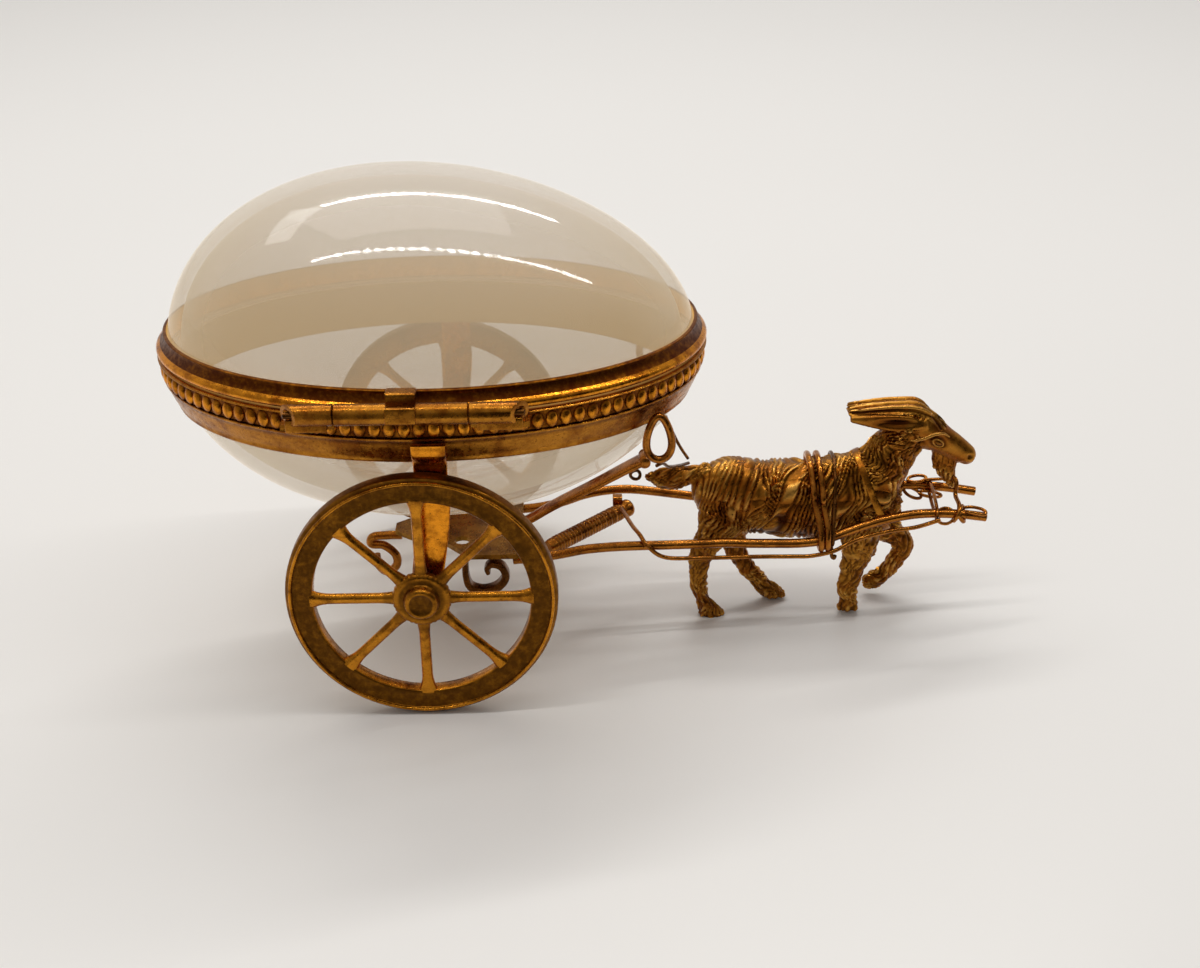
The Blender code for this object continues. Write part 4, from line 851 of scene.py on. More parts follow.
# The trace's stations under the shaft: X, how much further out and higher than the shaft
TRACE_BELOW = [
    (35.5, 1.1, -1.6), (41, 1.2, -1.9), (50.5, 1.1, -1.8), (56, 1.1, -1.8), (59, 1.2, -1.9),
    (62.5, 1.2, -1.9), (65, 0.9, -1.7), (67.5, 0.7, -1.7), (72, 0.6, -2.0), (76, 0.7, -2.0),
    (79.6, 1.4, -0.4),
]


def shaft_at(x):
    """(X, distance from the middle plane, Z) of the shafts' middle line."""
    share = (x - SHAFT_ROOT) / SHAFT_REACH
    out = np.interp(share, SHAFT_STATIONS[:, 0], SHAFT_STATIONS[:, 1])
    rise = np.interp(share, SHAFT_STATIONS[:, 0], SHAFT_STATIONS[:, 2])
    return np.array([x, SHAFT_SPREAD + out, PLATE_LOW[2] + rise])


def near_shaft_at(x):
    return shaft_at(x) * (1, -1, 1)


def make_shafts():
    for node, side in (("shaft_near", -1), ("shaft_far", 1)):
        stations = np.linspace(SHAFT_ROOT, SHAFT_ROOT + SHAFT_REACH, 21)
        spots = [shaft_at(x) * (1, side, 1) for x in stations]
        on_carriage(node, tube(smooth(spots, 5), SHAFT_RADIUS, 18), WIRE_GILT)
    make_trace(make_crossbar())


def make_crossbar():
    """The ribbed bar, slantwise from the near shaft's root to the far shaft. Returns its front end."""
    far = shaft_at(30.5)
    apart = SHAFT_RADIUS + BAR_RADIUS + 0.15
    rear = near_shaft_at(17.5) + (-0.6, apart + 0.8, -0.4)
    front = far + (0, -apart - 0.8, -1.6)
    share = BAR_STATIONS
    outline = np.interp(share, BAR_OUTLINE[:, 0], BAR_OUTLINE[:, 1])
    ribs = np.where((share > 0.07) & (share < 0.85), 0.05 * np.cos(share * 2 * math.pi * BAR_RIBS), 0.0)
    bar = tube(rear + np.outer(share, front - rear), (outline + ribs) * BAR_RADIUS, BAR_SIDES)
    tab = front + (-2.2, 0.2, 0)
    tab_top = far[2] + 0.2
    points, faces = merged([bar, block((tab[0], tab[1], (front[2] + tab_top) / 2),
                                       (0.8, 0.8, (tab_top - front[2]) / 2 + 0.1))])
    grime = np.zeros(len(points))
    # Painted shade: the rib valleys are darker than the crests
    grime[:BAR_SIDES * len(share)] = np.repeat(np.where(ribs < 0.0, 0.45, 0.1), BAR_SIDES)
    on_carriage("crossbar", (points, faces), WIRE_GILT, grime=grime)
    return front


def make_trace(front):
    """The wire from the crossbar's end, over the near shaft and along under it to the goat's chest."""
    beside = SHAFT_RADIUS + TRACE_RADIUS + 0.15
    over, down = near_shaft_at(31.6), near_shaft_at(33.4)
    points = [
        front + (-1.6, -3.8, 1.6),
        over + (-1.2, 5.0, 1.0),
        over + (0, 0.8, beside + 0.2),
        down + (-0.6, -beside, 0.5),
    ]
    points += [near_shaft_at(x) + (0, -out, rise) for x, out, rise in TRACE_BELOW]
    on_carriage("trace_near", tube(smooth(points, 8), TRACE_RADIUS, 12), WIRE_GILT)


# The goat

TORSO = np.array([
    # x, top, bottom, half width
    (40.3, 24.0, 20.6, 1.6), (41.4, 25.0, 18.2, 3.0), (43.6, 26.1, 15.6, 4.3), (47.0, 26.9, 14.4, 5.1),
    (51.5, 26.3, 13.9, 5.4), (56.0, 26.2, 13.4, 5.5), (60.5, 26.5, 12.9, 5.3), (64.5, 27.2, 12.8, 5.0),
    (67.8, 28.0, 13.2, 4.6), (70.6, 27.6, 14.0, 4.0), (72.8, 24.4, 15.2, 3.0), (74.2, 20.6, 16.4, 1.5),
])

# Each station of a limb: x, y, z, half length, half width, tilt in degrees
NECK = [(68.2, 0, 22.1, 5.3, 4.4, -38), (70.6, 0, 25.6, 4.5, 3.8, -36), (72.6, 0, 28.5, 3.9, 3.1, -32),
        (74.2, 0, 31.4, 3.6, 2.7, -28), (75.6, 0, 33.4, 2.9, 2.3, -30)]
HEAD = [(73.2, 0, 34.0, 1.1, 1.4, 55), (74.4, 0, 33.6, 2.3, 2.2, 58), (76.0, 0, 32.6, 3.0, 2.55, 60),
        (78.2, 0, 31.1, 2.9, 2.4, 60), (80.0, 0, 30.0, 2.35, 1.9, 60), (82.0, 0, 28.7, 2.1, 1.6, 62),
        (83.6, 0, 27.6, 1.85, 1.45, 64), (84.7, 0, 26.9, 1.55, 1.25, 66), (85.4, 0, 26.5, 0.9, 0.8, 66)]
TAIL = [(42.4, 0, 24.2, 1.9, 1.8, 90), (40.0, 0, 24.2, 1.6, 1.5, 90), (38.2, 0, 23.8, 2.0, 1.35, 90),
        (36.6, 0, 23.7, 2.05, 1.2, 90), (35.0, 0, 23.7, 1.75, 1.0, 90), (34.0, 0, 23.8, 1.2, 0.8, 90),
        (32.8, 0, 24.0, 0.45, 0.45, 90)]
HORN = [(79.2, 0.8, 33.0, 1.6, 0.9, 130), (77.9, 0.8, 34.6, 1.5, 0.95, 125),
        (75.6, 0.8, 35.6, 1.3, 0.95, 100), (73.0, 0.8, 35.85, 1.1, 0.9, 92),
        (70.0, 0.85, 35.8, 1.0, 0.85, 88), (67.0, 0.9, 35.6, 0.8, 0.75, 86),
        (64.8, 0.95, 35.5, 0.55, 0.6, 86)]
EAR = [(77.0, 1.8, 33.4, 0.9, 0.8, 90), (75.0, 2.2, 33.8, 1.3, 0.8, 90), (72.0, 2.4, 34.0, 1.45, 0.75, 90),
       (69.4, 2.3, 34.2, 1.25, 0.65, 90), (67.0, 2.05, 34.4, 0.9, 0.55, 90),
       (64.9, 1.8, 34.55, 0.5, 0.45, 90)]
LEGS = [
    # near hind, far hind, near fore, far fore
    [(45.6, -2.6, 19.5, 4.3, 2.6, 0), (44.6, -3.0, 15.5, 3.7, 2.3, 0), (42.4, -3.2, 12.2, 2.5, 1.8, 8),
     (41.5, -3.1, 9.6, 1.9, 1.4, 10), (41.3, -3.1, 6.8, 1.5, 1.2, 0), (41.4, -3.1, 4.6, 1.45, 1.2, -10),
     (42.2, -3.1, 2.9, 1.6, 1.3, -20), (43.2, -3.1, 1.5, 2.0, 1.5, -12), (43.5, -3.1, 0.5, 2.1, 1.5, 0),
     (43.5, -3.1, -0.8, 2.1, 1.5, 0)],
    [(46.0, 2.6, 18.5, 4.2, 2.5, 0), (47.0, 2.9, 14.5, 3.4, 2.2, 0), (47.4, 2.8, 11.4, 2.4, 1.7, 10),
     (48.0, 2.6, 8.6, 1.8, 1.4, 25), (49.4, 2.3, 6.0, 1.5, 1.2, 35), (51.2, 2.0, 3.9, 1.4, 1.2, 35),
     (52.6, 1.8, 2.3, 1.6, 1.3, 20), (54.0, 1.7, 1.1, 2.1, 1.4, 0), (54.2, 1.7, 0.3, 2.1, 1.4, 0)],
    [(67.4, -2.4, 18.5, 4.0, 2.5, 0), (67.5, -2.8, 14.5, 3.5, 2.2, 0), (67.4, -3.0, 11.2, 2.7, 1.7, 0),
     (66.6, -3.0, 8.2, 2.1, 1.4, 0), (66.1, -3.0, 5.6, 1.9, 1.3, 0), (65.9, -3.0, 3.6, 1.6, 1.2, 0),
     (66.1, -3.0, 2.2, 1.4, 1.2, 0), (66.3, -3.0, 1.2, 1.8, 1.4, 0), (66.3, -3.0, 0.4, 1.8, 1.4, 0)],
    [(68.6, 2.4, 18.0, 3.8, 2.4, 10), (71.0, 2.7, 14.2, 3.1, 2.0, 30), (73.6, 2.8, 11.6, 2.2, 1.7, 50),
     (75.4, 2.8, 9.8, 1.9, 1.5, 10), (75.6, 2.8, 8.2, 1.8, 1.4, -20), (74.4, 2.7, 6.0, 1.5, 1.2, -30),
     (73.2, 2.6, 4.3, 1.4, 1.2, -35), (72.2, 2.6, 3.2, 1.6, 1.3, -60), (70.6, 2.6, 2.4, 1.5, 1.2, -80),
     (69.4, 2.6, 2.4, 0.9, 0.9, -90)],
]
# Each lock of the beard: x, z of its tip
BEARD_TIPS = [(79.3, 24.7), (80.25, 23.2), (81.15, 22.3), (82.0, 21.3)]
GOAT_VOXEL = 0.2
SOFTENING_ROUNDS = 5


def mirrored(stations):
    return [(x, -y, z, half, across, tilt) for x, y, z, half, across, tilt in stations]


def beard_lock(x, tip):
    root = 28.2 - 0.35 * (x - 79.0)
    return [(x, 0, root, 0.75, 0.9, 0), (x, 0, (root + tip) / 2, 0.72, 0.75, 0),
            (x + 0.1, 0, tip + 0.5, 0.55, 0.5, 0), (x + 0.15, 0, tip, 0.25, 0.25, 0)]


LIMBS = [("neck", NECK), ("head", HEAD), *[("beard", beard_lock(*tip)) for tip in BEARD_TIPS],
         ("tail", TAIL), ("horn", HORN), ("horn", mirrored(HORN)), ("ear", EAR), ("ear", mirrored(EAR)),
         *[("leg", leg) for leg in LEGS]]
# How deep each form is cut in millimetres, and how dark its cuts are painted as shade
CUTS = {"torso": (0.4, 0.95), "neck": (0.38, 0.95), "head": (0.08, 0.25), "beard": (0.2, 0.8),
        "tail": (0.3, 0.9), "horn": (0.2, 0.8), "ear": (0.1, 0.2), "leg": (0.24, 0.85)}
# Marks on both sides of the head: x, distance out and z, then radius, stretch and depth
HEAD_MARKS = [
    ((72.4, 3.15, 34.2), 0.8, (3.9, 1.4, 0.95), 1.0), ((76.2, 2.5, 30.4), 0.5, (1, 1.6, 0.8), 0.4),
    ((84.5, 1.05, 27.3), 0.36, (1.2, 1.4, 0.9), 0.45), ((83.3, 1.4, 25.95), 0.36, (3.4, 1.8, 0.6), 0.5),
    ((77.6, 2.4, 31.2), 0.4, (1.6, 1.4, 0.6), 0.2), ((78.0, 2.5, 28.9), 0.6, (1.8, 1.4, 0.5), 0.16),
]
HOOF_SPLITS = [(45.4, -3.1, 0.9), (56.0, 1.7, 0.8), (68.0, -3.0, 0.9), (69.6, 2.6, 2.2)]


def limb(stations, sides=24, steps=5):
    fine = smooth(stations, steps)
    angle = full_turn(sides)
    lean = np.radians(fine[:, 5:6])
    half, across = np.maximum(fine[:, 3:4], 0.2), np.maximum(fine[:, 4:5], 0.2)
    along = half * np.cos(angle)
    rows = np.stack([fine[:, 0:1] + along * np.cos(lean), fine[:, 1:2] + across * np.sin(angle),
                     fine[:, 2:3] + along * np.sin(lean)], -1)
    return skin(rows)


def trunk():
    fine = smooth(TORSO, 5)
    angle = full_turn(40)
    x, top, bottom, half = (fine[:, i:i + 1] for i in range(4))
    cos, sin = np.cos(angle), np.sin(angle)
    rows = np.stack([x + 0 * cos, half * np.sign(cos) * np.abs(cos)**0.9,
                     (top + bottom) / 2 + (top - bottom) / 2 * sin], -1)
    return skin(rows)


def value_noise(points, size, seed):
    """Smooth noise from 0 to 1, the same each run."""
    cell = points / size
    base = np.floor(cell)
    share = cell - base
    share = share * share * (3 - 2 * share)
    found = 0
    for corner in np.ndindex(2, 2, 2):
        spot = base + corner
        value = np.sin(spot @ (127.1, 311.7, 74.7) + seed * 17.3) * 4375.85
        weight = np.prod(np.where(np.array(corner) == 1, share, 1 - share), axis=1)
        found = found + weight * (value - np.floor(value))
    return found


def fur(along, across, width, length, strand, seed):
    """Height from 0 to 1 of carved fur: strands broken into short locks, in uneven tufts."""
    spot = np.stack([across / width, along / length, 0 * across], 1)
    tuft = np.clip((value_noise(spot, 1.0, seed) - 0.2) / 0.6, 0, 1)
    bend = value_noise(spot, 1.7, seed + 1.3) - 0.5
    lane = (across + 2.6 * width * bend) / strand
    strands = 1 - (0.5 - 0.5 * np.cos(2 * math.pi * lane))**2.2
    start = np.sin(np.rint(lane) * 12.99) * 437.585
    lock = np.abs(np.cos(math.pi * (along / length + start)))**0.6
    return 0.3 * tuft + 0.7 * strands * (0.25 + 0.75 * lock) * (0.6 + 0.4 * tuft)


def along_spine(points, line, radius):
    """For each point: how far it is from a spine in radii, its distance along it, and its place round it."""
    gaps = np.linalg.norm(points[:, None] - line[None], axis=2) / radius[None]
    nearest = np.argmin(gaps, axis=1)
    ahead = unit(np.gradient(line, axis=0))[nearest]
    offset = points - line[nearest]
    lengths = np.concatenate([[0], np.cumsum(np.linalg.norm(np.diff(line, axis=0), axis=1))])
    along = lengths[nearest] + np.sum(offset * ahead, axis=1)
    side = unit(SIDEWAYS - ahead * ahead[:, 1:2])
    up = np.cross(ahead, side)
    turn = np.arctan2(np.sum(offset * up, axis=1), np.sum(offset * side, axis=1))
    return gaps[np.arange(len(points)), nearest], along, turn, radius[nearest]


def dent(points, centre, radius, stretch=(1, 1, 1)):
    away = (points - centre) / (np.asarray(stretch) * radius)
    return np.exp(-np.sum(away**2, axis=1))


SPINE = np.stack([TORSO[:, 0], 0 * TORSO[:, 0], (TORSO[:, 1] + TORSO[:, 2]) / 2], 1)
SPINE_Z = SPINE[0, 2]
SPINE_RADIUS = (TORSO[:, 1] - TORSO[:, 2]) / 2 * 0.55 + TORSO[:, 3] * 0.45


def coat(kind, points, along, round_it, turn, wave, broad, flow):
    """(pattern from 0 to 1, depth of the cuts, how dark they are, shade over them) on one kind of form."""
    amount, darkness = CUTS[kind]
    shade = 0.0
    if kind == "torso":
        down = np.abs(np.arctan2(np.abs(points[:, 1]), points[:, 2] - SPINE_Z + 3.4)) * 5.2
        pattern = fur(down, points[:, 0] + 0.45 * down + 2.6 * flow, 1.6, 3.0, 0.9, 2.0)
        rump = np.clip((points[:, 0] - 46.0) / 4.0, 0, 1)
        shown = 0.3 + 0.7 * (np.clip((down + 0.4) / 2.0, 0, 1) * (0.5 + 0.5 * rump))
        amount, darkness = amount * shown, darkness * shown
        shade = 0.55 * np.clip((21.0 - points[:, 2]) / 5.0, 0, 1) * broad
    elif kind == "neck":
        pattern = fur(along, round_it + 0.9 * np.sin(along * 0.95 + 2 * wave), 1.3, 2.4, 0.95, 7.0)
    elif kind == "leg":
        thigh = np.clip((points[:, 2] - 12.0) / 2.5, 0, 1)
        across = round_it + 0.9 * np.sin(along * 0.8 + 3 * wave)
        pattern = np.where(thigh > 0.5, fur(along, across, 1.4, 2.8, 0.95, 11.0),
                           fur(along, across, 0.9, 1.5, 0.8, 13.0))
        amount = amount + 0.14 * thigh
        shade = 0.4 * thigh * broad
    elif kind == "tail":
        pattern = fur(along, round_it + 0.5 * along + 0.6 * wave, 0.9, 2.4, 0.8, 23.0)
    elif kind == "beard":
        pattern = fur(along, round_it, 0.8, 1.8, 0.75, 19.0)
    elif kind == "horn":
        pattern = 0.5 + 0.5 * np.cos(turn * 5)
    elif kind == "ear":
        pattern = np.full(len(points), 0.6)
    else:
        pattern = 0.55 + 0.3 * wave
    return pattern, amount, darkness, shade


def carve(points):
    """(raised height in mm, painted shade, wear that also paints highlights) over the goat's surface, each
    point by the form nearest to it.
    """
    count = len(points)
    wave = value_noise(points, 2.6, 3) - 0.5
    broad = value_noise(points, 6.0, 5)
    flow = value_noise(points, 4.2, 9) - 0.5
    spines = [("torso", SPINE, SPINE_RADIUS)]
    for kind, stations in LIMBS:
        route = smooth(stations, 3)
        spines.append((kind, route[:, :3], np.maximum((route[:, 3] + route[:, 4]) / 2, 0.4)))
    height, grime, wear = np.zeros(count), np.zeros(count), np.zeros(count)
    closest = np.full(count, np.inf)
    for kind, line, radius in spines:
        gap, along, turn, size = along_spine(points, line, radius)
        here = gap < closest
        closest = np.where(here, gap, closest)
        pattern, amount, darkness, shade = coat(kind, points, along, turn * size, turn, wave, broad, flow)
        height = np.where(here, (pattern - 0.5) * amount * 2, height)
        # Painted shade: dark in the cuts, plus the shade over the lower flank and thighs
        grime = np.where(here, np.clip(np.clip((0.46 - pattern) * 2.8, 0, 1) * darkness + shade, 0, 1), grime)
        # Wear on the high locks, which also paints highlights there
        wear = np.where(here, np.clip((pattern - 0.58) * 3.5, 0, 1) * (0.2 + 0.75 * broad), wear)
    return features(points, height, grime, wear)


def eye_at(side):
    """(centre, forward, upwards) of an eye."""
    return (np.array([79.0, side * 2.08, 30.35]), np.array([0.84, side * -0.1, -0.53]),
            np.array([0.5, side * 0.12, 0.84]))


def features(points, height, grime, wear):
    """Hollow ears, eye sockets, nostrils, mouth, cheeks and the split in each hoof, each sunk and painted
    dark with shade.
    """
    for side in (-1, 1):
        for (x, out, z), radius, stretch, deep in HEAD_MARKS:
            mark = dent(points, (x, side * out, z), radius, stretch)
            height -= mark * deep
            grime = np.maximum(grime, np.clip(mark * 1.3 * min(deep * 3.0, 1.0), 0, 1))
            wear *= 1 - np.clip(mark * 1.5, 0, 1)
        centre, forward, high = eye_at(side)
        away = np.hypot((points - centre) @ forward / 1.3, (points - centre) @ high / 0.85)
        socket = np.exp(-((away - 1) / 0.24)**2) * (side * points[:, 1] > 0.8)
        height -= 0.26 * socket
        grime = np.maximum(grime, 0.95 * socket)
        wear *= 1 - socket
    for split in HOOF_SPLITS:
        mark = dent(points, split, 0.42, (2.2, 0.6, 2.4))
        height -= mark * 0.35
        grime = np.maximum(grime, mark * 0.8)
    return height, grime, wear


def fused(shape):
    """(points, normals, faces) of the forms made one skin, its creases softened."""
    forms = in_scene("goat_forms", closed_mesh("goat_forms", *shape))
    change = forms.modifiers.new("fuse", "REMESH")
    change.mode = "VOXEL"
    change.voxel_size = GOAT_VOXEL
    whole = bpy.data.meshes.new_from_object(forms.evaluated_get(bpy.context.evaluated_depsgraph_get()))
    bpy.data.objects.remove(forms)
    sketch = bmesh.new()
    sketch.from_mesh(whole)
    for _ in range(SOFTENING_ROUNDS):
        bmesh.ops.smooth_vert(sketch, verts=sketch.verts, factor=0.5,
                              use_axis_x=True, use_axis_y=True, use_axis_z=True)
    sketch.normal_update()
    points = np.array([v.co for v in sketch.verts])
    normals = np.array([v.normal for v in sketch.verts])
    faces = [[v.index for v in face.verts] for face in sketch.faces]
    sketch.free()
    return points, normals, faces


def on_side(tree, x, z, side):
    """The point of the goat's skin that shows at X and Z from one side."""
    spot, *_ = tree.ray_cast(Vector((x, side * 15.0, z)), Vector((0, -side, 0)))
    return np.array(spot)


# The ridge that runs from under the ear over the eye: how far behind and above the eye, and its radius
BROW = [(-4.6, 0.7, 0.08), (-3.7, 0.65, 0.22), (-2.2, 1.0, 0.28), (-0.7, 1.6, 0.3), (0.8, 1.45, 0.24),
        (1.9, 0.7, 0.1)]


def eye(tree, side):
    """[(shape, darkness)] of an eyeball, the lids round it and the brow over it."""
    centre, forward, high = eye_at(side)
    ball = ellipsoid(centre, (forward * 0.72, high * 0.42, SIDEWAYS * 0.34), 16, 10)
    angle = full_turn(24)
    lids = centre + np.outer(np.cos(angle) * 0.98, forward) + np.outer(np.sin(angle) * 0.56, high)
    ridge = smooth([(*on_side(tree, centre[0] + x, centre[2] + z, side), radius)
                    for x, z, radius in BROW], 5)
    shapes = [(ball, 0.55), (tube(lids + (0, side * 0.1, 0), 0.12, 8, closed=True), 0.0),
              (tube(ridge[:, :3], ridge[:, 3], 10), 0.0)]
    return [(shape, np.full(len(shape[0]), darkness)) for shape, darkness in shapes]


def make_goat():
    shapes = [trunk()] + [limb(stations) for _, stations in LIMBS]
    shapes.append(ellipsoid((71.4, -3.5, 18.2), ([0.75, 0, 0], [0, 0.7, 0], [0, 0, 0.75])))
    points, normals, faces = fused(merged(shapes))
    height, grime, wear = carve(points)
    points = points + normals * height[:, None]
    points[:, 2] = np.maximum(points[:, 2], 0.0)
    tree = BVHTree.FromPolygons(points.tolist(), faces)
    extra = eye(tree, -1) + eye(tree, 1)
    marks = np.concatenate([darkness for _, darkness in extra])
    # The eyeball is painted darker, and its lids and brow lighter as a painted highlight
    on_carriage("goat", merged([(points, faces), *[shape for shape, _ in extra]]), BRONZE,
                slot="patinated_brass", sharp=60, grime=np.concatenate([grime, marks]),
                worn=np.concatenate([wear, 0.5 - 0.8 * marks]))
    return tree


# Harness

# Wires round the goat and the shafts: piece, node, X, how far the top leans back, radius, material
SADDLE_WIRES = [("saddle_wire_rear", "saddle_band_rear", 60.2, 1.4, 0.52, WIRE_GILT),
                ("saddle_wire_front", "saddle_band_front", 61.3, 1.0, 0.52, WIRE_GILT),
                ("girth_wire_fine", "girth_wire", 62.4, -0.5, 0.3, DARK_WIRE)]
# The girth wire's hooked end, from the near shaft
GIRTH_HOOK = [(-0.3, -0.3, -0.9), (-0.1, -0.2, -2.2), (0, -0.2, -3.4), (0.35, -0.25, -3.7),
              (0.5, -0.3, -3.2)]
COLLAR_CENTRE = np.array([68.6, 0, 22.8])
COLLAR_LEAN = math.radians(113)
LOOP_RADIUS = 0.6


def hugging(tree, centre, directions, clear):
    """Points just outside the goat, seen from a centre inside it. A gap between its legs is stepped over."""
    found = []
    for direction in directions:
        spot, *_ = tree.ray_cast(Vector(centre) + Vector(direction) * 12, -Vector(direction))
        if spot is None:
            spot = Vector(centre) + Vector(direction) * 5
        found.append(np.array(spot) + np.asarray(direction) * clear)
    return np.array(found)


def make_saddle(tree):
    """Two thick wires and one thin dark one round the goat and the shafts, the last with a hooked end."""
    for name, node, x, lean, radius, kind in SADDLE_WIRES:
        rest = shaft_at(x)
        angles = np.radians(np.linspace(12, 168, 17))
        over = hugging(tree, (x, 0, 20.0), [(0, -math.cos(a), math.sin(a)) for a in angles], radius + 0.08)
        over[:, 0] -= lean * np.clip((over[:, 2] - rest[2]) / 12, 0, 1)
        beside = SHAFT_RADIUS + radius + 0.08
        flank = [(0.1, rest[1] + beside - 0.7, rest[2] + 2.4), (0.15, rest[1] + beside, rest[2] + 0.6),
                 (0.2, rest[1] + beside - 0.25, rest[2] - 0.8), (0.2, rest[1] - 0.3, rest[2] - beside),
                 (0.2, 2.4, rest[2] - beside - 0.1)]
        far = [(x + share * lean, y, z) for share, y, z in flank]
        near = [(x + share * lean, -y, z) for share, y, z in flank[::-1]]
        shapes = [tube(smooth(np.vstack([over, far, near]), 6, closed=True), radius, 14, closed=True)]
        if node == "girth_wire":
            shapes.append(tube(smooth([near_shaft_at(x) + step for step in GIRTH_HOOK], 6), radius, 12))
        piece(name, merged(shapes), kind, "carriage", [node])


def make_collar(tree):
    """A flat strap laid on the goat's shoulders and chest."""
    centre, top = COLLAR_CENTRE, np.array([math.cos(COLLAR_LEAN), 0, math.sin(COLLAR_LEAN)])
    directions = [top * math.cos(a) + SIDEWAYS * math.sin(a) for a in full_turn(40)]
    reach = np.linalg.norm(hugging(tree, centre, directions, 0.15) - centre, axis=1)
    for level_out in (np.max, np.mean):
        reach = level_out([np.roll(reach, step) for step in (-2, -1, 0, 1, 2)], axis=0)
    route = smooth(centre + np.array(directions) * reach[:, None], 3, closed=True)
    outward = unit(route - centre)
    ahead = unit(np.roll(route, -1, 0) - np.roll(route, 1, 0))
    section = soft_box(0.55, 0.16, 12, 4)
    across = unit(np.cross(outward, ahead))
    rows = route[:, None] + section[None, :, :1] * across[:, None] + section[None, :, 1:] * outward[:, None]
    piece("collar_strap", skin(rows, closed=True), BAND_GILT, "carriage", ["collar"])


def link(centre, long_way, short_way, length, width, radius=THIN_WIRE):
    """A closed chain link lying in the plane of two directions."""
    angle = full_turn(26)
    long_way, short_way = unit(np.asarray(long_way, float)), unit(np.asarray(short_way, float))
    route = (np.asarray(centre, float) + np.outer(np.cos(angle) * length / 2, long_way)
             + np.outer(np.sin(angle) * width / 2, short_way))
    return tube(route, radius, 10, closed=True)


def coil(start, end, radius, turns, wire):
    """A wire wound round the line from start to end."""
    start, end = np.asarray(start, float), np.asarray(end, float)
    ahead = unit(end - start)
    side = unit(np.cross(ahead, UPRIGHT))
    up = np.cross(side, ahead)
    share = np.linspace(0, 1, int(turns * 16) + 1)
    angle = share * turns * 2 * math.pi
    route = start + np.outer(share, end - start) + np.outer(np.cos(angle) * radius, side)
    return tube(route + np.outer(np.sin(angle) * radius, up), wire, 10)


def make_tips():
    """The chain between the shaft tips, the wire from the goat's mouth and the bent wire on the near tip."""
    joint = shaft_at(79.4)
    shapes = [
        coil(shaft_at(74.0), shaft_at(75.8), 1.08, 1.6, THIN_WIRE),
        link(shaft_at(77.6) + (0, 0, 1.2), (1, 0, 0.1), (0, 1, 0.3), 3.0, 1.5),
        link(shaft_at(80.4) + (0, -0.1, 1.3), (1, 0, 0.05), (0, 1, -0.5), 3.2, 1.5),
        link(shaft_at(76.9) + (0, -0.9, -1.0), (1, -0.3, -0.3), (0, 0.6, 1), 3.0, 1.5),
        link(shaft_at(79.6) + (0, -1.6, -0.7), (1, -0.3, 0), (0, 1, 0.2), 3.6, 1.4),
        link((joint[0], 0, joint[2] + 0.2), (0.05, 1, 0), (0, 0, 1), 2 * joint[1] + 2.2, 2.3, 0.3),
        link(near_shaft_at(80.6) + (0, 0, -0.5), (1, 0, 0), (0, 0.3, 1), 2.9, 2.6),
    ]
    piece("shaft_chain", merged(shapes), WIRE_GILT, "carriage", ["shaft_tie"])
    tip = near_shaft_at(83.2)
    hanging = [(82.0, 0.5, 22.6), (82.3, -0.2, 23.3), (82.8, -1.0, 22.6), (82.7, -1.5, 20.6)]
    wound = [(-0.4, 0.4, 1.5), (-0.6, -1.0, 0.4), (0.3, -0.6, -1.0), (0.6, 0.8, -0.8), (0.3, 0.9, 0.9),
             (-0.3, -0.3, 1.25), (-0.9, -1.1, 0.2), (-1.2, -0.4, -1.0)]
    bit = smooth(hanging + [tip + step for step in wound], 7)
    on_carriage("bit_wire", tube(bit, 0.36, 12), WIRE_GILT)
    bent = [(83.6, 0, 0.7, 0.9), (85.0, 0, 0.5, 1.25), (86.4, 0.1, 0.3, 1.15), (86.4, 0.7, -0.2, 0.85),
            (86.4, 0.2, -0.8, 0.7), (85.0, 0, -0.75, 0.85), (83.8, 0, -0.6, 0.95)]
    loop = smooth([near_shaft_at(x) + step for x, *step in bent], 6)
    piece("near_tip_wire", tube(loop, THIN_WIRE, 10), WIRE_GILT, "carriage")


def make_loops():
    """The drop-shaped loops under the band's front, with the thin wires that run on to the goat's rump."""
    for side, word in ((-1, "near"), (1, "far")):
        low, high = span("eye_loop_" + word)
        x, out = (low[0] + high[0]) / 2, (low[1] + high[1]) / 2
        top, height = high[2] - 0.62, high[2] - low[2] - 1.24
        angle = full_turn(48)
        width = 2.1 * np.sin(angle) * (0.86 - 0.26 * np.cos(angle))
        loop = np.stack([x + width, out + 0.15 * np.cos(angle), top - height / 2 * (1 - np.cos(angle))], 1)
        on_carriage("eye_loop_" + word, tube(loop, LOOP_RADIUS, 16, closed=True), WIRE_GILT)
        foot = low[2] - 0.28 - 0.3
        rein = [(x - 0.4, out + side * 0.2, foot + 0.2), (x + 0.6, out - side, foot),
                (x + 1.8, 0.6 * out, foot - 3.6), (38.0, 0.25 * out, 28.2), (39.6, side * 0.8, 26.8)]
        on_carriage("rein_" + word, tube(smooth(rein, 10), 0.26, 10), DARK_WIRE)


# Floor, lights and camera

FLOOR_HALF = 2.2
FLOOR_FRONT = -0.13
FLOOR_TOP = -0.0001
LAMP_SIZE = (0.014, 0.018)
LAMP_COLOUR = (1.0, 0.985, 0.955)


def make_floor():
    made, tree, shader, place = begin("pale floor", Specular_IOR_Level=0.3, Roughness=0.3)
    shade = noise(tree, place, 160.0, 1.0)
    tree.links.new(blend(tree, shade, (0.85, 0.84, 0.83), (0.83, 0.82, 0.805)), shader.inputs["Base Color"])
    sketch = bmesh.new()
    bmesh.ops.create_grid(sketch, x_segments=8, y_segments=8, size=FLOOR_HALF)
    mesh = bpy.data.meshes.new("floor")
    sketch.to_mesh(mesh)
    sketch.free()
    mesh.materials.append(made)
    floor = in_scene("floor", mesh)
    floor.location = (0, FLOOR_FRONT + FLOOR_HALF, FLOOR_TOP)


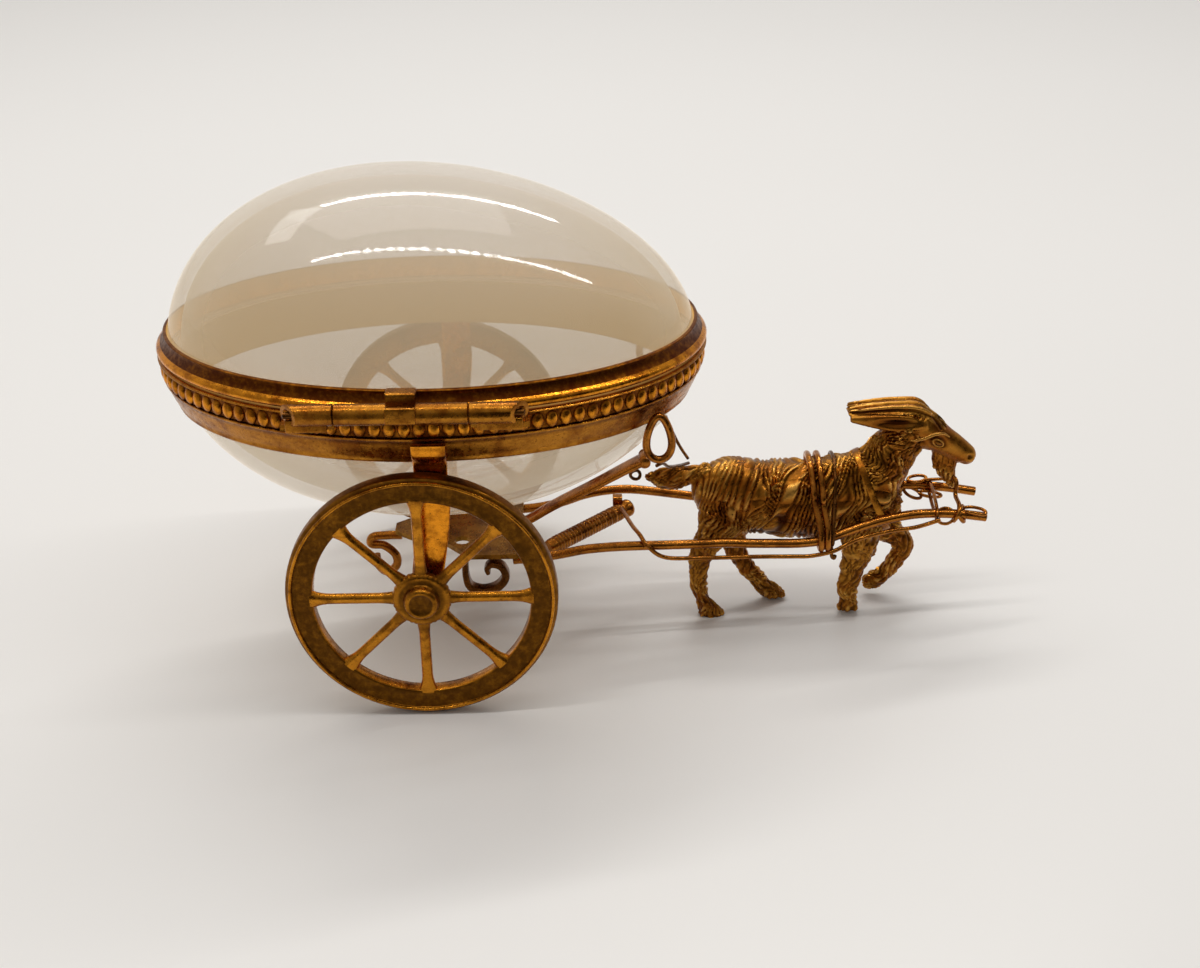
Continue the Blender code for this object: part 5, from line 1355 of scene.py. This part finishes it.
def area_light(name, place, aim, size, power, colour=(1, 1, 1)):
    lamp = bpy.data.lights.new(name, "AREA")
    lamp.shape = "RECTANGLE"
    lamp.size, lamp.size_y = size
    lamp.energy = power
    lamp.color = colour
    made = in_scene(name, lamp)
    made.location = place
    made.rotation_euler = (Vector(aim) - Vector(place)).to_track_quat("-Z", "Y").to_euler()


def lamp_row(name, start, end, count, power):
    """A strip of small lamps between two places, which the glass shows as a dotted line."""
    for i, share in enumerate(np.linspace(0, 1, count)):
        place = np.array(start) + (np.array(end) - start) * share
        aim = place * (0.55, 0.55, 0)
        area_light(f"{name}_{i}", place, aim, LAMP_SIZE, power / count, LAMP_COLOUR)


def make_room():
    """A pale tent behind and above, and a dark room on the near side that the metal reflects."""
    world = bpy.data.worlds.new("soft room")
    world.use_nodes = True
    tree = world.node_tree
    parts = tree.nodes.new("ShaderNodeSeparateXYZ")
    tree.links.new(tree.nodes.new("ShaderNodeTexCoord").outputs["Generated"], parts.inputs[0])
    walls = ramp(tree, parts.outputs["Y"], -0.35, 0.35)
    walls = blend(tree, walls, (0.035, 0.026, 0.02), (0.58, 0.57, 0.55))
    sides = blend(tree, ramp(tree, parts.outputs["X"], -0.9, 0.3, 0.5, 0.0), walls, (0.7, 0.66, 0.6))
    sky = blend(tree, ramp(tree, parts.outputs["Z"], 0.25, 0.8), sides, (0.42, 0.4, 0.38))
    tree.links.new(sky, tree.nodes["Background"].inputs["Color"])
    bpy.context.scene.world = world


def make_lights():
    make_room()
    lamp_row("back_strip", (-0.28, 0.34, 0.6), (0.3, 0.5, 0.6), 26, 1.35)
    lamp_row("front_strip", (-0.36, -0.14, 0.6), (0.56, -0.02, 0.6), 30, 1.2)
    area_light("left_window", (-0.42, 0.24, 0.6), (0, 0, 0.04), (0.3, 0.12), 0.3)
    area_light("tent_top", (-0.1, 0.3, 0.8), (0, 0, 0.03), (0.7, 0.5), 1.1)


PHOTO_SIZE = (1200, 968)
FOCAL_PIXELS = 1700.36
CAMERA_PITCH = math.radians(27.649)
CAMERA_YAW = math.radians(-0.144)
CAMERA_ROLL = math.radians(0.824)
CAMERA_TARGET = np.array([25.408, 0.0, 22.834])
CAMERA_DISTANCE = 274.405
SENSOR_WIDTH = 36.0


def make_camera():
    level, lift = math.cos(CAMERA_PITCH), math.sin(CAMERA_PITCH)
    back = Vector((math.sin(CAMERA_YAW) * level, -math.cos(CAMERA_YAW) * level, lift))
    right = Vector((math.cos(CAMERA_YAW), math.sin(CAMERA_YAW), 0))
    up = back.cross(right)
    cos, sin = math.cos(CAMERA_ROLL), math.sin(CAMERA_ROLL)
    lens = bpy.data.cameras.new("camera")
    lens.sensor_fit = "HORIZONTAL"
    lens.sensor_width = SENSOR_WIDTH
    lens.lens = SENSOR_WIDTH * FOCAL_PIXELS / PHOTO_SIZE[0]
    lens.clip_start = 0.01
    camera = in_scene("camera", lens)
    place = Matrix((right * cos - up * sin, right * sin + up * cos, back)).transposed().to_4x4()
    place.translation = Vector(CAMERA_TARGET * MM + ORIGIN) + back * CAMERA_DISTANCE * MM
    camera.matrix_world = place
    bpy.context.scene.camera = camera


def main():
    bpy.context.scene.view_settings.view_transform = "Standard"
    make_camera()
    make_lights()
    make_floor()
    make_egg()
    make_mounts()
    make_beads()
    make_hinge()
    for node, side in (("wheel_near", -1), ("wheel_far", 1)):
        make_wheel(node, side)
    make_underframe()
    make_shafts()
    tree = make_goat()
    make_saddle(tree)
    make_collar(tree)
    make_tips()
    make_loops()


main()
